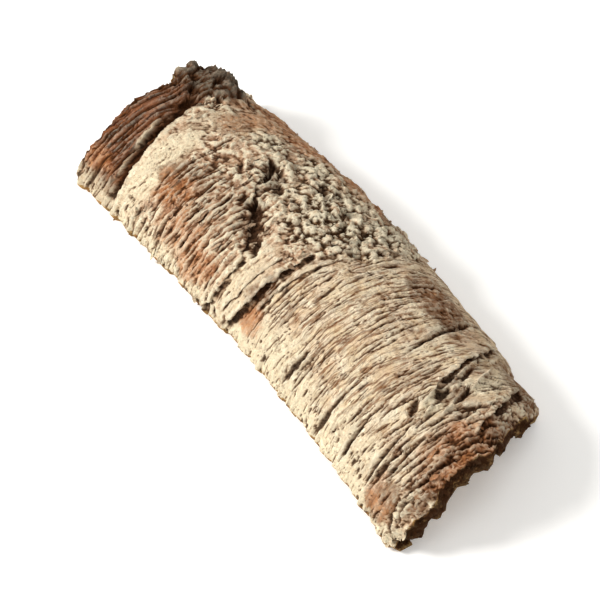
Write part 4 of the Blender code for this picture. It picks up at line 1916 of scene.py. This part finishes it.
    def spread(self, slab: bpy.types.Object, material: bpy.types.Material) -> bpy.types.Object:
        """Spreads the pieces over the slab and makes them one plain mesh.

        Args:
            slab: What they lie on.
            material: Their finish.

        Returns:
            The pieces.
        """
        tree = self.tree()
        host = add_object(self.name, slab.data)
        modifier = host.modifiers.new(self.name, "NODES")
        modifier.node_group = tree
        settings = {
            "Density": self.per_square_cm * 1e4,
            "Smallest": self.smallest * MM,
            "Largest": self.largest * MM,
            "Ruffle": self.ruffle * MM,
            "Seed": self.seed,
            "Material": material,
        }
        for item in tree.interface.items_tree:
            if item.name in settings:
                modifier[item.identifier] = settings[item.name]
        depsgraph = bpy.context.evaluated_depsgraph_get()
        evaluated = host.evaluated_get(depsgraph)
        mesh = bpy.data.meshes.new_from_object(evaluated, preserve_all_data_layers=True, depsgraph=depsgraph)
        host.modifiers.clear()
        host.data = mesh
        mesh.name = self.name
        log.info("%s: %d faces", self.name, len(mesh.polygons))
        return host

    def mapped(self, wiring: Wiring, node: bpy.types.Node, size: float) -> Socket:
        """Keeps a plain shape's map under the bark's own map name.

        Args:
            wiring: The tree's wiring.
            node: The node that makes the shape.
            size: How large the map becomes, in map units.

        Returns:
            The shape.
        """
        small = wiring.scaled(node.outputs["UV Map"], size)
        inputs = {0: node.outputs["Mesh"], "Name": UV_MAP, "Value": small}
        stored = wiring.add("GeometryNodeStoreNamedAttribute", inputs, data_type="FLOAT2", domain="CORNER")
        return stored.outputs[0]


@dataclass(frozen=True)
class Lumps(Scatter):
    """Low lumps: lichen nodules, or crumbs of cork."""

    squash: float = 0.55

    def piece(self, wiring: Wiring) -> Socket:
        """A squashed ball of a few dozen faces.

        Args:
            wiring: The tree's wiring.

        Returns:
            The ball.
        """
        ball = wiring.add("GeometryNodeMeshIcoSphere", {"Radius": 0.5, "Subdivisions": 2})
        here = wiring.out("GeometryNodeInputPosition")
        flat = wiring.vectors("MULTIPLY", here, (1.0, 1.0, self.squash))
        inputs = {0: self.mapped(wiring, ball, 0.02), "Position": flat}
        return wiring.out("GeometryNodeSetPosition", inputs)


@dataclass(frozen=True)
class Flakes(Scatter):
    """Thin curled flakes of bark, longest round the branch."""

    proportions: tuple[float, float, float] = (1.0, 0.36, 0.07)
    curl: float = 0.45

    def piece(self, wiring: Wiring) -> Socket:
        """A thin plate with a rounded outline and edges that curl up.

        Args:
            wiring: The tree's wiring.

        Returns:
            The plate.
        """
        counts = {"Size": (2.0, 2.0, 1.0), "Vertices X": 5, "Vertices Y": 4, "Vertices Z": 2}
        mesh = self.mapped(wiring, wiring.add("GeometryNodeMeshCube", counts), 0.03)
        here = wiring.out("GeometryNodeInputPosition")
        here = wiring.add("ShaderNodeSeparateXYZ", {0: here}).outputs

        def rounded(own: Any, other: Any) -> Socket:
            """One direction of a square drawn in at the corners, to make a round."""
            half_square = wiring.times(other, other, 0.5)
            return wiring.times(own, wiring.maths("SQRT", wiring.maths("SUBTRACT", 1.0, half_square)))

        x = rounded(here[0], here[1])
        y = rounded(here[1], here[0])
        out = wiring.maths("ADD", wiring.times(x, x), wiring.times(y, y))
        thick = wiring.times(here[2], wiring.fade(out, 0.0, 1.0, 0.45), self.proportions[2])
        z = wiring.maths("ADD", thick, wiring.times(out, self.curl * 0.2))
        half_sizes = (0.5 * self.proportions[0], 0.5 * self.proportions[1])
        shape = {0: wiring.times(x, half_sizes[0]), 1: wiring.times(y, half_sizes[1]), 2: z}
        shaped = wiring.out("ShaderNodeCombineXYZ", shape)
        return wiring.out("GeometryNodeSetPosition", {0: mesh, "Position": shaped})


@dataclass(frozen=True)
class SoftLight:
    """A square soft light that points at the slab. Lengths are metres."""

    name: str
    place: tuple[float, float, float]
    size: float
    power: float
    colour: Colour = (1.0, 1.0, 1.0)

    def make(self) -> None:
        """Adds the light to the scene."""
        data = bpy.data.lights.new(self.name, "AREA")
        data.size = self.size
        data.energy = self.power
        data.color = self.colour
        light = add_object(self.name, data)
        light.location = self.place
        light.rotation_euler = Vector(self.place).to_track_quat("Z", "Y").to_euler()


@dataclass(frozen=True)
class Studio:
    """A pale floor, soft studio light, and the camera at the photograph's angle. Lengths are metres."""

    azimuth: float = 56.4
    elevation: float = 50.0
    distance: float = 1.6
    picture: float = 0.180  # width of what the picture shows at the slab
    aim_right: float = -0.00764  # from the slab's middle to the picture's
    aim_up: float = -0.00406
    sensor: float = 36.0  # millimetres
    lights: tuple[SoftLight, ...] = (
        SoftLight("key_light", (-0.52, -0.80, 0.72), 0.36, 15.8, (1.0, 0.98, 0.95)),
        SoftLight("top_light", (0.25, 0.15, 1.15), 0.8, 3.0),
    )
    sky: float = 0.5
    sky_colour: Colour = (1.0, 0.975, 0.93)
    floor_size: float = 6.0
    floor_colour: Colour = (0.93, 0.93, 0.92)
    floor_glow: float = 0.2

    def axes(self) -> tuple[Vector, Vector, Vector]:
        """The camera's directions.

        Returns:
            Back to the camera, right and up.
        """
        turn = math.radians(self.azimuth)
        rise = math.radians(self.elevation)
        back = Vector((math.sin(turn) * math.cos(rise), -math.cos(turn) * math.cos(rise), math.sin(rise)))
        right = Vector((math.cos(turn), math.sin(turn), 0.0))
        return back, right, back.cross(right)

    def make_camera(self, middle: Vector) -> None:
        """The camera, looking at the slab as the photograph does.

        Args:
            middle: Middle of the slab's box.
        """
        back, right, up = self.axes()
        data = bpy.data.cameras.new("camera")
        data.sensor_width = self.sensor
        data.lens = data.sensor_width * self.distance / self.picture
        data.clip_end = 20.0
        camera = add_object("camera", data)
        camera.location = middle + right * self.aim_right + up * self.aim_up + back * self.distance
        camera.rotation_euler = back.to_track_quat("Z", "Y").to_euler()
        bpy.context.scene.camera = camera

    def make_floor(self) -> None:
        """Makes a plain pale floor."""
        half = self.floor_size / 2
        corners = [(-half, -half, 0.0), (half, -half, 0.0), (half, half, 0.0), (-half, half, 0.0)]
        mesh = bpy.data.meshes.new("floor")
        mesh.from_pydata(corners, [], [(0, 1, 2, 3)])
        material = bpy.data.materials.new("floor_white")
        material.use_nodes = True
        shader = material.node_tree.nodes["Principled BSDF"]
        shader.inputs["Base Color"].default_value = (*self.floor_colour, 1.0)
        shader.inputs["Roughness"].default_value = 0.9
        shader.inputs["Emission Color"].default_value = (1.0, 1.0, 1.0, 1.0)
        shader.inputs["Emission Strength"].default_value = self.floor_glow
        mesh.materials.append(material)
        floor = add_object("floor", mesh)
        floor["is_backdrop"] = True

    def build(self, middle: Vector) -> None:
        """Makes the floor, the lights, the sky and the camera.

        Args:
            middle: Middle of the slab's box.
        """
        self.make_floor()
        for light in self.lights:
            light.make()
        world = bpy.data.worlds.new("studio")
        world.use_nodes = True
        background = world.node_tree.nodes["Background"]
        background.inputs["Color"].default_value = (*self.sky_colour, 1.0)
        background.inputs["Strength"].default_value = self.sky
        bpy.context.scene.world = world
        view = bpy.context.scene.view_settings
        view.view_transform = "Standard"
        view.look = "None"
        self.make_camera(middle)


def plain(box: tuple[Vector, Vector]) -> list[list[float]]:
    """A box as plain lists of numbers."""
    return [[float(value) for value in corner] for corner in box]


def main() -> None:
    """Builds the slab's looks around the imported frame."""
    logging.basicConfig(level=logging.INFO, format="%(message)s")
    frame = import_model()
    log.info("frame: %s", type(frame).__name__)
    packed_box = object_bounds()
    effects = Effects()
    bark = WeatheredBark(effects).make()
    cork = RawCork(effects).make()
    slab = BarkSlab(SlabSizes(), GridSizes()).build("bark_slab", [bark, cork])
    log.info("bark_slab: %d faces", len(slab.data.polygons))
    nodules = Lumps(
        name="lichen_nodules", where=Mask.LICHEN, per_square_cm=13.0, smallest=0.7, largest=3.8, sunk=0.26,
        ruffle=3.4, ruffle_size=1.6, lean=(0.4, 0.4, 3.1), tipped=0.0, seed=5, dirt=(0.35, 0.8), smooth=True,
    )
    flakes = Flakes(
        name="bark_flakes", where=Mask.FLAKY, per_square_cm=20.0, smallest=1.0, largest=4.2, sunk=0.04,
        ruffle=1.0, ruffle_size=1.4, lean=(0.3, 0.2, 0.4), tipped=0.12, seed=15, dirt=(0.5, 0.6),
    )
    crumbs = Lumps(
        name="cork_crumbs", where=Mask.CRUMBLY, per_square_cm=45.0, smallest=0.4, largest=1.5, sunk=0.2,
        ruffle=1.4, ruffle_size=1.0, lean=(3.1, 3.1, 3.1), tipped=0.0, seed=25, dirt=(0.7, 0.2),
    )
    pieces = [slab, nodules.spread(slab, bark), flakes.spread(slab, bark), crumbs.spread(slab, cork)]
    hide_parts(NODE)
    for piece in pieces:
        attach(piece, BODY)
    low, high = packed_box
    Studio().build((low + high) / 2)


if __name__ == "__main__":
    main()
